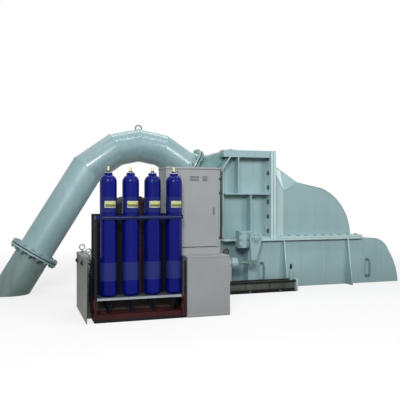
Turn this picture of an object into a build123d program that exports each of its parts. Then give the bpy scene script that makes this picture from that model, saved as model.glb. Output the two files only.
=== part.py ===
from build123d import *
import math
import os

os.makedirs("parts", exist_ok=True)

# Water turbine set with its inlet bend and its governor unit, in millimetres.
# X runs along the inlet pipe and the casings, Y runs away from the governor, Z is up.
# The origin is on the floor, under the middle of the whole set.

# Inlet pipe
SET_Y = 810.0
PIPE_OD = 570.0
PIPE_WALL = 12.0
FOOT_X = -3368.0
PIPE_RISE = 58.5
STUB_LENGTH = 786.0
LOWER_LEG = 1650.0
LONG_MITRE = 600.0
SHORT_MITRE = 420.0
MITRE_TURN = 23.0
FLANGE_OD = 820.0
FLANGE_T = 40.0
FLANGE_PCD = 745.0
FLANGE_BOLTS = 16
FLANGE_HOLE = 36.0
LUG_SPAN = 110.0
LUG_RISE = 65.0
LUG_BAR = 26.0
LUG_BEND = 50.0

# Adapter and guide box
ADAPTER_REACH = 381.0
PLATE = 20.0
SEAM_T = 25.0
END_FLANGE_T = 50.0
BOX_HALF = 470.0
BOX_LEFT = 170.0
BOX_RIGHT = 1040.0
BOX_TOP = 2420.0
SEAM_STAND = 110.0
RIB_STAND = 200.0
RIB_T = 22.0
MID_RIB_Z = 1657.0
CAP_DEPTH = 120.0
CAP_LEFT = 160.0
UPPER_RIB_X = 430.0
LOWER_RIB_X = 664.0
SIDE_RIB_STAND = 130.0
SEAM_BOLTS = 6
SEAM_HOLE = 30.0

# Hood and base casing
CASING_HALF = 710.0
SHAFT_X = 1720.0
SHAFT_DROP = 5.0
SPLIT_Z = 870.0
HOOD_RADIUS = 920.0
HOOD_FACE_X = 1290.0
HOOD_NECK_Z = 2220.0
HOOD_KINK_X = 1540.0
HOOD_KINK_Z = 1866.0
HOOD_SHOULDER_X = 2040.0
HOOD_ARC_MIDDLE = 30.0
FACET_LOW_Z = 1702.0
FOOT_FLANGE_T = 35.0
FLANGE_STAND = 70.0
FLANGE_NOSE = 105.0
FOOT_FLANGE_END_X = 2910.0
BASE_LEFT = 600.0
BASE_FLAT_END_X = 3150.0
BASE_CROWN_RADIUS = 360.0
BASE_CROWN_TURN = 67.0
BASE_RIGHT = 3701.0
BASE_FLANK_BULGE = 45.0
TOP_FLANGE_END_X = 2930.0
NARROW_BASE_LEFT = 180.0
GUSSET_T = 20.0
GUSSET_TOP = 60.0
GUSSET_FOOT = 200.0
GUSSET_XS = (1260.0, 2560.0)
HANDLE_XS = (850.0, 3000.0)
HANDLE_LOW = 140.0
HANDLE_RISE = 310.0
HANDLE_STAND = 105.0
HANDLE_BAR = 30.0
HANDLE_BEND = 40.0

# Shaft end on the generator side
SEAL_FLANGE_OD = 520.0
SEAL_FLANGE_T = 60.0
SEAL_OD = 380.0
SEAL_LENGTH = 250.0
SEAL_CHAMFER = 12.0
WAY_GAP = 1.0
SHAFT_OD = 160.0
SHAFT_STAND = 70.0
COUPLING_OD = 420.0
COUPLING_T = 40.0
COUPLING_PCD = 340.0
COUPLING_BOLTS = 8
COUPLING_HOLE = 33.0

# Guide vane lever and servomotor
LEVER_Y = -120.0
LEVER_T = 40.0
HUB_X = 648.0
HUB_Z = 898.0
HUB_OD = 220.0
HUB_T = 60.0
HUB_FACE_OD = 158.0
VANE_SHAFT_OD = 90.0
VANE_BEARING_OD = 160.0
PIN_X = 602.0
SERVO_Z = 485.0
LEVER_TIP_OD = 86.0
PIN_OD = 40.0
PIN_PLAY = 0.8
PIN_RISE = 10.0
PIN_SAG = 2.5
RUNNING_GAP = 0.1
LEVER_GAP = 6.0
BRACKET_LEFT = 380.0
BRACKET_RIGHT = 560.0
BRACKET_LOW = 730.0
BRACKET_TOP = 1012.0
BRACKET_FRONT = -50.0
ROD_OD = 50.0
CLEVIS_H = 90.0
CLEVIS_EAR = 18.0
CLEVIS_NECK = 66.0
CLEVIS_BRIDGE = 32.0
CLEVIS_ROUND = 30.0
ROD_TRAVEL_IN = 43.5
ROD_TRAVEL_OUT = 130.0
ROD_GRIP = 60.0
SERVO_FRONT = 310.0
SERVO_HEAD = 120.0
SERVO_HEAD_OD = 190.0
SERVO_HEAD_ROUND = 38.0
SERVO_OD = 150.0
SERVO_REAR = -220.0
STAND_T = 30.0
STAND_W = 130.0
STAND_XS = (-150.0, 150.0)
GAUGE_X = 100.0
GAUGE_Z = 680.0
GAUGE_OD = 100.0
GAUGE_DEPTH = 42.0
GAUGE_CHAMFER = 4.0
GAUGE_STEM = 20.0

# Floor frame of the servomotor
FRAME_LEFT = -220.0
FRAME_RIGHT = 1290.0
FRAME_H = 190.0
FRAME_FRONT = -380.0
FRAME_REAR = -140.0
CHANNEL_W = 80.0
CHANNEL_WEB = 8.0
CHANNEL_LIP = 12.0
CROSS_PLATE_XS = (-190.0, 310.0, 810.0)
END_PLATE_T = 12.0
POST_X = 1205.0
POST_OD = 52.0
POST_H = 190.0
KNOB_OD = 46.0
KNOB_H = 80.0
KNOB_ROUND = 11.5

# Governor
GOV_LEFT = -2410.0
GOV_RIGHT = -500.0
GOV_FRONT = -1880.0
GOV_REAR = -640.0
GOV_H = 800.0
BAY_DEPTH = 340.0
BAY_RIGHT = -1100.0
TANK_WALL = 6.0
LID_T = 10.0
LID_LIP = 6.0
SHEET = 4.0
CABINET_LEFT = -1300.0
CABINET_RIGHT = -520.0
CABINET_DEPTH = 430.0
CABINET_H = 1200.0
DOOR_RIGHT = -556.0
DOOR_LOW = 907.0
DOOR_TOP = 1892.0
DOOR_T = 25.0
DOOR_SKIN = 4.0
DOOR_GAP = 0.3
DOOR_LAP = 18.0
LOUVRE_W = 130.0
SMALL_LOUVRE_W = 76.0
LOUVRE_OFFSET = 76.0
LOUVRE_DROP = 46.0
LOUVRE_H = 7.0
LOUVRE_PITCH = 18.0
LOUVRE_ROWS = 4
HANDLE_PLATE_W = 26.0
HANDLE_PLATE_H = 105.0
HANDLE_PLATE_T = 6.0
HANDLE_PLATE_ROUND = 6.5
HANDLE_INSET = 64.0
HANDLE_GRIP_T = 14.0
HANDLE_GRIP_H = 90.0
MOTOR_X = -1720.0
MOTOR_Y = -1190.0
MOTOR_OD = 400.0
MOTOR_TOP = 1600.0
MOTOR_CROWN = 70.0
LANTERN_OD = 300.0
LANTERN_H = 190.0
MOTOR_FLANGE_OD = 460.0
MOTOR_FLANGE_T = 25.0
EYE_RADIUS = 36.0
EYE_BAR = 18.0
EYE_SINK = 4.5
EYE_STEM = 40.0
EYE_STEM_OD = 26.0
EYE_FOOT_OD = 40.0
EYE_INSET = 70.0

# Accumulator bank and its rack
BOTTLES = 4
BOTTLE_OD = 219.0
BOTTLE_PITCH = 291.0
BOTTLE_FIRST_X = -2115.0
BOTTLE_Y = -1720.0
BOTTLE_BODY_TOP = 1785.0
BOTTLE_TOP = 1900.0
BOTTLE_CROWN_OD = 110.0
BOTTLE_CROWN_H = 28.0
BOTTLE_BASE_ROUND = 45.0
BOTTLE_WALL = 7.0
PORT_HOLE = 60.0
PORT_OD = 92.0
CONE_OD = 130.0
PORT_TIP_OD = 30.0
PORT_DROP = 200.0
PORT_TIP_H = 30.0
NECK_OD = 44.0
NECK_H = 26.0
VALVE_OD = 26.0
VALVE_H = 52.0
SHELF_Z = 280.0
SHELF_T = 30.0
SHELF_HOLE = 100.0
RACK_INSET = 20.0
RACK_SIDE_GAP = 10.0
RACK_BEAM_W = 80.0
RACK_BEAM_H = 100.0
RACK_REAR_Y = -1590.0
LEFT_POST_X = -2310.0
LEFT_POST_W = 32.0
RIGHT_POST_W = 26.0
RIGHT_POST_TOP = 750.0
POST_T = 8.0
POST_DEPTH = 60.0
MIDDLE_POST_W = 30.0
MIDDLE_POST_TOP = 1600.0
BAND_Z = 1300.0
BAND_H = 50.0
BAND_T = 8.0
BAND_GAP = 1.0
BAND_BEND = 80.0
BAND_END_GAP = 8.0
PANEL_T = 6.0
PANEL_TOP = 1370.0

# Heights and faces that follow from the sizes above
BOX_BOTTOM = SPLIT_Z
HOOD_BOTTOM = SPLIT_Z + FOOT_FLANGE_T
BASE_TOP = SPLIT_Z - FOOT_FLANGE_T
SHAFT_Z = HOOD_BOTTOM - SHAFT_DROP
BOX_FACE = SET_Y - BOX_HALF
CASING_FACE = SET_Y - CASING_HALF
CASING_BACK = SET_Y + CASING_HALF
HOOD_LEFT = BOX_RIGHT + 2 * END_FLANGE_T
SHELF_TOP = SHELF_Z + SHELF_T
BAY_BACK = GOV_FRONT + BAY_DEPTH


def elevation(y):
    """Upright plane facing the governor side, with X to the right and Z up."""
    return Plane.XZ.offset(-y)


def slope(angle):
    """Unit vector in the pipe's centre plane, at an angle above +X."""
    return Vector(math.cos(math.radians(angle)), 0, math.sin(math.radians(angle)))


def mirrored(part):
    """The same piece on the generator side of the set's centre plane."""
    with BuildPart() as copy:
        add(part)
        mirror(about=Plane.XZ.offset(-SET_Y), mode=Mode.REPLACE)
    return copy.part


# Centreline of the pipe: a straight rise, then four equal mitres down to the adapter
headings = [PIPE_RISE - MITRE_TURN * n for n in range(5)]
foot = Vector(FOOT_X, SET_Y, 0)
joint = foot + slope(PIPE_RISE) * STUB_LENGTH
corners = [joint + slope(headings[0]) * LOWER_LEG]
for heading, length in zip(headings[1:], (LONG_MITRE, SHORT_MITRE, SHORT_MITRE, LONG_MITRE)):
    corners.append(corners[-1] + slope(heading) * length)
outlet = corners[-1]
outlet_way = slope(headings[-1])
cuts = [slope((a + b) / 2) for a, b in zip(headings, headings[1:])]


def pipe_leg(start, end, start_cut, end_cut, bore=True):
    """One straight leg of the pipe, cut at each end square to the direction given."""
    way = (end - start).normalized()
    with BuildPart() as leg:
        with BuildSketch(Plane(origin=start - way * PIPE_OD, z_dir=way)):
            Circle(PIPE_OD / 2)
            if bore:
                Circle(PIPE_OD / 2 - PIPE_WALL, mode=Mode.SUBTRACT)
        extrude(amount=(end - start).length + 2 * PIPE_OD)
        split(bisect_by=Plane(origin=start, z_dir=start_cut), keep=Keep.TOP)
        split(bisect_by=Plane(origin=end, z_dir=end_cut), keep=Keep.BOTTOM)
    return leg.part


def pipe_flange(start, way):
    """A ring flange that fills one flange thickness from the start point on."""
    with BuildPart() as ring:
        with BuildSketch(Plane(origin=start, x_dir=(0, 1, 0), z_dir=way)):
            Circle(FLANGE_OD / 2)
            Circle(PIPE_OD / 2 - PIPE_WALL, mode=Mode.SUBTRACT)
            with PolarLocations(FLANGE_PCD / 2, FLANGE_BOLTS, start_angle=180 / FLANGE_BOLTS):
                Circle(FLANGE_HOLE / 2, mode=Mode.SUBTRACT)
        extrude(amount=FLANGE_T)
    return ring.part


# Lower pipe: the stub that stands on the floor, a flange pair and the long rising leg
rise_way = slope(PIPE_RISE)
with BuildPart() as penstock_stub:
    add(pipe_leg(foot, joint - rise_way * FLANGE_T, Vector(0, 0, 1), rise_way))
penstock_stub.part.label = "penstock_stub"
export_step(penstock_stub.part, "parts/penstock_stub.step")

with BuildPart() as stub_flange:
    add(pipe_flange(joint - rise_way * FLANGE_T, rise_way))
stub_flange.part.label = "stub_flange"
export_step(stub_flange.part, "parts/stub_flange.step")

with BuildPart() as bend_lower_flange:
    add(pipe_flange(joint, rise_way))
bend_lower_flange.part.label = "bend_lower_flange"
export_step(bend_lower_flange.part, "parts/bend_lower_flange.step")

with BuildPart() as bend_lower_leg:
    add(pipe_leg(joint + rise_way * FLANGE_T, corners[0], rise_way, cuts[0]))
bend_lower_leg.part.label = "bend_lower_leg"
export_step(bend_lower_leg.part, "parts/bend_lower_leg.step")

# The three short mitres over the top, then the leg that falls to the adapter
for number in range(3):
    with BuildPart() as bend_mitre:
        add(pipe_leg(corners[number], corners[number + 1], cuts[number], cuts[number + 1]))
    bend_mitre.part.label = f"bend_mitre_{number + 1}"
    export_step(bend_mitre.part, f"parts/bend_mitre_{number + 1}.step")

with BuildPart() as bend_outlet_leg:
    add(pipe_leg(corners[3], outlet - outlet_way * FLANGE_T, cuts[3], outlet_way))
bend_outlet_leg.part.label = "bend_outlet_leg"
export_step(bend_outlet_leg.part, "parts/bend_outlet_leg.step")

with BuildPart() as bend_outlet_flange:
    add(pipe_flange(outlet - outlet_way * FLANGE_T, outlet_way))
bend_outlet_flange.part.label = "bend_outlet_flange"
export_step(bend_outlet_flange.part, "parts/bend_outlet_flange.step")

# Lifting lug: a bent bar astride the highest mitre seam, its feet shaped to the pipe
crown = corners[2] + Vector(0, 0, PIPE_OD / 2)
with BuildPart() as bend_lifting_lug:
    with BuildLine(elevation(SET_Y)) as lug_path:
        FilletPolyline(
            (crown.X - LUG_SPAN / 2, crown.Z - LUG_SPAN / 2),
            (crown.X - LUG_SPAN / 2, crown.Z + LUG_RISE),
            (crown.X + LUG_SPAN / 2, crown.Z + LUG_RISE),
            (crown.X + LUG_SPAN / 2, crown.Z - LUG_SPAN / 2),
            radius=LUG_BEND,
        )
    with BuildSketch(Plane(origin=lug_path.wire() @ 0, z_dir=lug_path.wire() % 0)):
        Circle(LUG_BAR / 2)
    sweep()
    add(pipe_leg(corners[1], corners[2], cuts[1], cuts[2], bore=False), mode=Mode.SUBTRACT)
    add(pipe_leg(corners[2], corners[3], cuts[2], cuts[3], bore=False), mode=Mode.SUBTRACT)
bend_lifting_lug.part.label = "bend_lifting_lug"
export_step(bend_lifting_lug.part, "parts/bend_lifting_lug.step")

# The slanted mouth of the guide box, square to the pipe's last leg
mouth = outlet + outlet_way * ADAPTER_REACH
mouth_up = slope(headings[-1] + 90)
MOUTH_HALF = (BOX_TOP - mouth.Z) / mouth_up.Z
mouth_top = mouth + mouth_up * MOUTH_HALF
mouth_low = mouth - mouth_up * MOUTH_HALF
heel = mouth_low + outlet_way * ((BOX_LEFT - mouth_low.X) / outlet_way.X)


def across_pipe(distance):
    """Plane square to the last leg, at a distance past the pipe's outlet, local x along Y."""
    return Plane(origin=outlet + outlet_way * distance, x_dir=(0, 1, 0), z_dir=outlet_way)


def cap_bar():
    """The bar along the top of the guide box's side, which starts to the left of the mouth."""
    with BuildPart() as cap:
        with BuildSketch(elevation(BOX_FACE)):
            with Locations((CAP_LEFT, BOX_TOP - CAP_DEPTH)):
                Rectangle(BOX_RIGHT - CAP_LEFT, CAP_DEPTH, align=Align.MIN)
        extrude(amount=RIB_STAND)
    return cap.part


# Adapter: round flange, a transition from round to square, and a flat flange on the box
ADAPTER_END = ADAPTER_REACH - 2 * SEAM_T
with BuildPart() as inlet_adapter:
    with BuildSketch(across_pipe(FLANGE_T)):
        Circle(PIPE_OD / 2)
    with BuildSketch(across_pipe(ADAPTER_END)):
        Rectangle(2 * BOX_HALF, 2 * MOUTH_HALF)
    loft(ruled=True)
    with BuildSketch(across_pipe(ADAPTER_END)):
        Rectangle(2 * (BOX_HALF + SEAM_STAND), 2 * MOUTH_HALF)
    extrude(amount=SEAM_T)
    with BuildSketch(across_pipe(FLANGE_T)):
        Circle(PIPE_OD / 2 - PIPE_WALL)
    with BuildSketch(across_pipe(ADAPTER_REACH - SEAM_T)):
        Rectangle(2 * (BOX_HALF - PLATE), 2 * (MOUTH_HALF - PLATE))
    loft(ruled=True, mode=Mode.SUBTRACT)
    add(pipe_flange(outlet, outlet_way))
    add(cap_bar(), mode=Mode.SUBTRACT)
    add(mirrored(cap_bar()), mode=Mode.SUBTRACT)
inlet_adapter.part.label = "inlet_adapter"
export_step(inlet_adapter.part, "parts/inlet_adapter.step")

with BuildPart() as box_mouth_flange:
    with BuildSketch(across_pipe(ADAPTER_REACH - SEAM_T)):
        Rectangle(2 * (BOX_HALF + RIB_STAND), 2 * MOUTH_HALF)
        Rectangle(2 * (BOX_HALF - PLATE), 2 * (MOUTH_HALF - PLATE), mode=Mode.SUBTRACT)
    extrude(amount=SEAM_T)
    add(cap_bar(), mode=Mode.SUBTRACT)
    add(mirrored(cap_bar()), mode=Mode.SUBTRACT)
box_mouth_flange.part.label = "box_mouth_flange"
export_step(box_mouth_flange.part, "parts/box_mouth_flange.step")

# Guide box: welded plates, open towards the adapter and towards the hood
box_outline = [
    (BOX_LEFT, BOX_BOTTOM),
    (BOX_RIGHT, BOX_BOTTOM),
    (BOX_RIGHT, BOX_TOP),
    (mouth_top.X, mouth_top.Z),
    (mouth_low.X, mouth_low.Z),
    (heel.X, heel.Z),
]
with BuildPart() as guide_box:
    with BuildSketch(elevation(SET_Y)):
        Polygon(*box_outline, align=None)
    extrude(amount=BOX_HALF, both=True)
    with BuildSketch(elevation(SET_Y)):
        with BuildLine():
            Polyline(*box_outline, close=True)
            offset(amount=-PLATE, kind=Kind.INTERSECTION, mode=Mode.REPLACE)
        make_face()
    extrude(amount=BOX_HALF - PLATE, both=True, mode=Mode.SUBTRACT)
    with BuildSketch(across_pipe(ADAPTER_REACH)):
        Rectangle(2 * (BOX_HALF - PLATE), 2 * (MOUTH_HALF - 2 * PLATE))
    extrude(amount=2 * PLATE, mode=Mode.SUBTRACT)
    with BuildSketch(Plane.YZ.offset(BOX_RIGHT)):
        with Locations((SET_Y, (BOX_BOTTOM + BOX_TOP) / 2)):
            Rectangle(2 * (BOX_HALF - PLATE), BOX_TOP - BOX_BOTTOM - 2 * PLATE)
    extrude(amount=-2 * PLATE, mode=Mode.SUBTRACT)
guide_box.part.label = "guide_box"
export_step(guide_box.part, "parts/guide_box.step")


def vane_clearance():
    """The round way that the vane bearing takes through ribs and flanges."""
    with BuildPart() as way:
        with BuildSketch(elevation(BOX_FACE)):
            with Locations((HUB_X, HUB_Z)):
                Circle(VANE_BEARING_OD / 2 + WAY_GAP)
        extrude(amount=BOX_FACE - LEVER_Y)
    return way.part


# Ribs on the guide box's side: a top cap, a middle rib, two uprights and the edge ribs
rib_face = BOX_FACE - RIB_STAND
with BuildPart() as box_front_ribs:
    with BuildSketch(elevation(BOX_FACE)):
        with Locations((BOX_LEFT + RIB_T, MID_RIB_Z - RIB_T / 2)):
            Rectangle(BOX_RIGHT - BOX_LEFT - RIB_T, RIB_T, align=Align.MIN)
        with Locations((UPPER_RIB_X, MID_RIB_Z)):
            Rectangle(RIB_T, BOX_TOP - CAP_DEPTH - MID_RIB_Z, align=Align.MIN)
        with Locations((LOWER_RIB_X, BOX_BOTTOM)):
            Rectangle(RIB_T, MID_RIB_Z - BOX_BOTTOM, align=Align.MIN)
        with Locations((BOX_LEFT, BOX_BOTTOM)):
            Rectangle(BOX_RIGHT - BOX_LEFT, FOOT_FLANGE_T, align=Align.MIN)
    extrude(amount=RIB_STAND)
    with BuildSketch(elevation(BOX_FACE)):
        with Locations((BOX_LEFT, BOX_BOTTOM)):
            Rectangle(RIB_T, BOX_TOP - BOX_BOTTOM, align=Align.MIN)
    extrude(amount=SIDE_RIB_STAND)
    split(bisect_by=across_pipe(ADAPTER_REACH), keep=Keep.TOP)
    add(cap_bar())
    add(vane_clearance(), mode=Mode.SUBTRACT)
box_front_ribs.part.label = "box_front_ribs"
export_step(box_front_ribs.part, "parts/box_front_ribs.step")

with BuildPart() as box_rear_ribs:
    add(mirrored(box_front_ribs.part))
box_rear_ribs.part.label = "box_rear_ribs"
export_step(box_rear_ribs.part, "parts/box_rear_ribs.step")


def end_flange(start_x, way_top):
    """Upright bolted flange between the guide box and the hood; its way ends at the height given."""
    with BuildPart() as frame:
        with BuildSketch(Plane.YZ.offset(start_x)):
            with Locations((SET_Y, BOX_BOTTOM)):
                Rectangle(2 * CASING_HALF, BOX_TOP - BOX_BOTTOM, align=(Align.CENTER, Align.MIN))
            with Locations((SET_Y, BOX_BOTTOM + PLATE)):
                Rectangle(
                    2 * (BOX_HALF - PLATE),
                    way_top - BOX_BOTTOM - PLATE,
                    align=(Align.CENTER, Align.MIN),
                    mode=Mode.SUBTRACT,
                )
            with Locations((SET_Y, (BOX_BOTTOM + BOX_TOP) / 2)):
                bolt_pitch = (BOX_TOP - BOX_BOTTOM) / SEAM_BOLTS
                with GridLocations(CASING_HALF + BOX_HALF, bolt_pitch, 2, SEAM_BOLTS):
                    Circle(SEAM_HOLE / 2, mode=Mode.SUBTRACT)
        extrude(amount=END_FLANGE_T)
    return frame.part


with BuildPart() as box_end_flange:
    add(end_flange(BOX_RIGHT, BOX_TOP - PLATE))
box_end_flange.part.label = "box_end_flange"
export_step(box_end_flange.part, "parts/box_end_flange.step")

with BuildPart() as hood_end_flange:
    add(end_flange(BOX_RIGHT + END_FLANGE_T, HOOD_NECK_Z - PLATE))
hood_end_flange.part.label = "hood_end_flange"
export_step(hood_end_flange.part, "parts/hood_end_flange.step")


def hood_body(inset, floor_z):
    """Hood form, shrunk all round by the inset: a drum cut back by cheeks and facets towards the box."""
    radius = HOOD_RADIUS - inset
    shoulder_z = SHAFT_Z + math.sqrt(radius**2 - (HOOD_SHOULDER_X - SHAFT_X) ** 2)
    middle = math.radians(HOOD_ARC_MIDDLE)
    arc_points = (
        (HOOD_SHOULDER_X, shoulder_z),
        (SHAFT_X + radius * math.cos(middle), SHAFT_Z + radius * math.sin(middle)),
        (SHAFT_X + radius, SHAFT_Z),
    )
    with BuildPart() as drum:
        with BuildSketch(elevation(SET_Y)):
            with BuildLine():
                Polyline(
                    (HOOD_LEFT, floor_z),
                    (HOOD_LEFT, HOOD_NECK_Z - inset),
                    (HOOD_KINK_X, HOOD_KINK_Z - inset),
                    arc_points[0],
                )
                ThreePointArc(*arc_points)
                Polyline(arc_points[2], (SHAFT_X + radius, floor_z), (HOOD_LEFT, floor_z))
            make_face()
        extrude(amount=CASING_HALF - inset, both=True)
        for side in (-1, 1):
            low = Vector(HOOD_FACE_X, SET_Y + side * CASING_HALF, FACET_LOW_Z)
            high = Vector(HOOD_KINK_X, SET_Y + side * CASING_HALF, HOOD_KINK_Z)
            neck = Vector(HOOD_LEFT, SET_Y + side * BOX_HALF, HOOD_NECK_Z)
            cheek = Vector(BOX_HALF - CASING_HALF, side * (HOOD_FACE_X - HOOD_LEFT), 0).normalized()
            facet = (high - low).cross(neck - low).normalized()
            if facet.Z < 0:
                facet = facet * -1
            for normal in (cheek, facet):
                split(bisect_by=Plane(origin=low - normal * inset, z_dir=normal), keep=Keep.BOTTOM)
    return drum.part


# Hood: one welded casing, open below and towards the guide box
with BuildPart() as hood_casing:
    add(hood_body(0, HOOD_BOTTOM))
    add(hood_body(PLATE, HOOD_BOTTOM), mode=Mode.SUBTRACT)
hood_casing.part.label = "hood_casing"
export_step(hood_casing.part, "parts/hood_casing.step")


def shaft_round(diameter, start_y, length):
    """A round bar on the shaft's axis, running away from the governor."""
    with BuildPart() as bar:
        with BuildSketch(elevation(start_y)):
            with Locations((SHAFT_X, SHAFT_Z)):
                Circle(diameter / 2)
        extrude(amount=-length)
    return bar.part


# Foot flange of the hood, with its round nose, and the top flange of the base below it
flange_half = CASING_HALF + FLANGE_STAND
opening_left = HOOD_FACE_X + PLATE
opening_right = SHAFT_X + HOOD_RADIUS - PLATE
with BuildPart() as hood_foot_flange:
    with BuildSketch(Plane.XY.offset(SPLIT_Z)):
        with Locations((HOOD_LEFT, SET_Y)):
            Rectangle(FOOT_FLANGE_END_X - HOOD_LEFT, 2 * flange_half, align=(Align.MIN, Align.CENTER))
        fillet(vertices().group_by(Axis.X)[-1], radius=FLANGE_NOSE)
        with Locations(((opening_left + opening_right) / 2, SET_Y)):
            Rectangle(opening_right - opening_left, 2 * (CASING_HALF - PLATE), mode=Mode.SUBTRACT)
    extrude(amount=FOOT_FLANGE_T)
    add(shaft_round(SEAL_FLANGE_OD + 2 * WAY_GAP, CASING_BACK, 2 * FLANGE_STAND), mode=Mode.SUBTRACT)
hood_foot_flange.part.label = "hood_foot_flange"
export_step(hood_foot_flange.part, "parts/hood_foot_flange.step")

with BuildPart() as base_top_flange:
    with BuildSketch(Plane.XY.offset(BASE_TOP)):
        with Locations((BASE_LEFT, SET_Y)):
            Rectangle(TOP_FLANGE_END_X - BASE_LEFT, 2 * flange_half, align=(Align.MIN, Align.CENTER))
        fillet(vertices().group_by(Axis.X)[-1], radius=FLANGE_NOSE)
        with Locations((BOX_LEFT, SET_Y)):
            Rectangle(BASE_LEFT - BOX_LEFT, 2 * (BOX_HALF + RIB_STAND), align=(Align.MIN, Align.CENTER))
        with Locations(((opening_left + opening_right) / 2, SET_Y)):
            Rectangle(opening_right - opening_left, 2 * (CASING_HALF - PLATE), mode=Mode.SUBTRACT)
    extrude(amount=FOOT_FLANGE_T)
    add(shaft_round(SEAL_FLANGE_OD + 2 * WAY_GAP, CASING_BACK, 2 * FLANGE_STAND), mode=Mode.SUBTRACT)
    add(vane_clearance(), mode=Mode.SUBTRACT)
base_top_flange.part.label = "base_top_flange"
export_step(base_top_flange.part, "parts/base_top_flange.step")

# Outline of the base's rounded end, from the flat top round to the floor
crown_turn = math.radians(BASE_CROWN_TURN)
crown_start = Vector(BASE_FLAT_END_X, BASE_TOP)
crown_end = crown_start + Vector(
    BASE_CROWN_RADIUS * math.sin(crown_turn), -BASE_CROWN_RADIUS * (1 - math.cos(crown_turn))
)
crown_middle = crown_start + Vector(
    BASE_CROWN_RADIUS * math.sin(crown_turn / 2), -BASE_CROWN_RADIUS * (1 - math.cos(crown_turn / 2))
)
flank_end = Vector(BASE_RIGHT, 0)
flank_way = (flank_end - crown_end).normalized()
flank_middle = (crown_end + flank_end) * 0.5 + Vector(-flank_way.Y, flank_way.X) * BASE_FLANK_BULGE


def base_outline(left):
    """Closed outline of the base casing seen from the side, starting at its left edge."""
    with BuildSketch(elevation(0)) as outline:
        with BuildLine():
            Polyline((left, 0), (left, BASE_TOP), (crown_start.X, crown_start.Y))
            ThreePointArc(
                (crown_start.X, crown_start.Y), (crown_middle.X, crown_middle.Y), (crown_end.X, crown_end.Y)
            )
            ThreePointArc((crown_end.X, crown_end.Y), (flank_middle.X, flank_middle.Y), (BASE_RIGHT, 0))
            Line((BASE_RIGHT, 0), (left, 0))
        make_face()
    return outline.sketch_local


# Base casing: two side plates, a rolled end cover, a left end plate and the narrow part
with BuildPart() as base_front_plate:
    with BuildSketch(elevation(CASING_FACE)):
        add(base_outline(BASE_LEFT))
    extrude(amount=-PLATE)
    add(vane_clearance(), mode=Mode.SUBTRACT)
base_front_plate.part.label = "base_front_plate"
export_step(base_front_plate.part, "parts/base_front_plate.step")

with BuildPart() as base_rear_plate:
    with BuildSketch(elevation(CASING_BACK)):
        add(base_outline(BASE_LEFT))
    extrude(amount=PLATE)
base_rear_plate.part.label = "base_rear_plate"
export_step(base_rear_plate.part, "parts/base_rear_plate.step")

with BuildPart() as base_end_cover:
    with BuildSketch(elevation(SET_Y)):
        add(base_outline(opening_right))
        with Locations((-PLATE, -PLATE)):
            add(base_outline(opening_right), mode=Mode.SUBTRACT)
        with Locations((opening_right - PLATE, 0)):
            Rectangle(2 * PLATE, BASE_TOP, align=(Align.CENTER, Align.MIN), mode=Mode.SUBTRACT)
    extrude(amount=CASING_HALF - PLATE, both=True)
base_end_cover.part.label = "base_end_cover"
export_step(base_end_cover.part, "parts/base_end_cover.step")

with BuildPart() as base_left_plate:
    with BuildSketch(Plane.YZ.offset(BASE_LEFT)):
        with Locations((SET_Y, 0)):
            Rectangle(2 * (CASING_HALF - PLATE), BASE_TOP, align=(Align.CENTER, Align.MIN))
    extrude(amount=PLATE)
    add(vane_clearance(), mode=Mode.SUBTRACT)
base_left_plate.part.label = "base_left_plate"
export_step(base_left_plate.part, "parts/base_left_plate.step")

with BuildPart() as base_narrow_part:
    with BuildSketch(Plane.XY):
        with Locations((NARROW_BASE_LEFT, SET_Y)):
            Rectangle(BASE_LEFT - NARROW_BASE_LEFT, 2 * BOX_HALF, align=(Align.MIN, Align.CENTER))
        with Locations((NARROW_BASE_LEFT + PLATE, SET_Y)):
            Rectangle(
                BASE_LEFT - NARROW_BASE_LEFT,
                2 * (BOX_HALF - PLATE),
                align=(Align.MIN, Align.CENTER),
                mode=Mode.SUBTRACT,
            )
    extrude(amount=BASE_TOP)
base_narrow_part.part.label = "base_narrow_part"
export_step(base_narrow_part.part, "parts/base_narrow_part.step")

# Gussets and step bars on both long sides of the base
with BuildPart() as base_front_gussets:
    for gusset_x in GUSSET_XS:
        with BuildSketch(Plane.YZ.offset(gusset_x)):
            Polygon(
                (CASING_FACE, 0),
                (CASING_FACE, BASE_TOP),
                (CASING_FACE - GUSSET_TOP, BASE_TOP),
                (CASING_FACE - GUSSET_FOOT, 0),
                align=None,
            )
        extrude(amount=GUSSET_T)
base_front_gussets.part.label = "base_front_gussets"
export_step(base_front_gussets.part, "parts/base_front_gussets.step")

with BuildPart() as base_rear_gussets:
    add(mirrored(base_front_gussets.part))
base_rear_gussets.part.label = "base_rear_gussets"
export_step(base_rear_gussets.part, "parts/base_rear_gussets.step")


def step_bar(bar_x):
    """A bent bar that stands off the base's side plate."""
    with BuildPart() as bar:
        with BuildLine(Plane.YZ.offset(bar_x)) as path:
            FilletPolyline(
                (CASING_FACE, HANDLE_LOW),
                (CASING_FACE - HANDLE_STAND, HANDLE_LOW),
                (CASING_FACE - HANDLE_STAND, HANDLE_LOW + HANDLE_RISE),
                (CASING_FACE, HANDLE_LOW + HANDLE_RISE),
                radius=HANDLE_BEND,
            )
        with BuildSketch(Plane(origin=path.wire() @ 0, z_dir=path.wire() % 0)):
            Circle(HANDLE_BAR / 2)
        sweep()
    return bar.part


with BuildPart() as base_front_handles:
    for handle_x in HANDLE_XS:
        add(step_bar(handle_x))
base_front_handles.part.label = "base_front_handles"
export_step(base_front_handles.part, "parts/base_front_handles.step")

with BuildPart() as base_rear_handles:
    add(mirrored(base_front_handles.part))
base_rear_handles.part.label = "base_rear_handles"
export_step(base_rear_handles.part, "parts/base_rear_handles.step")

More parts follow.
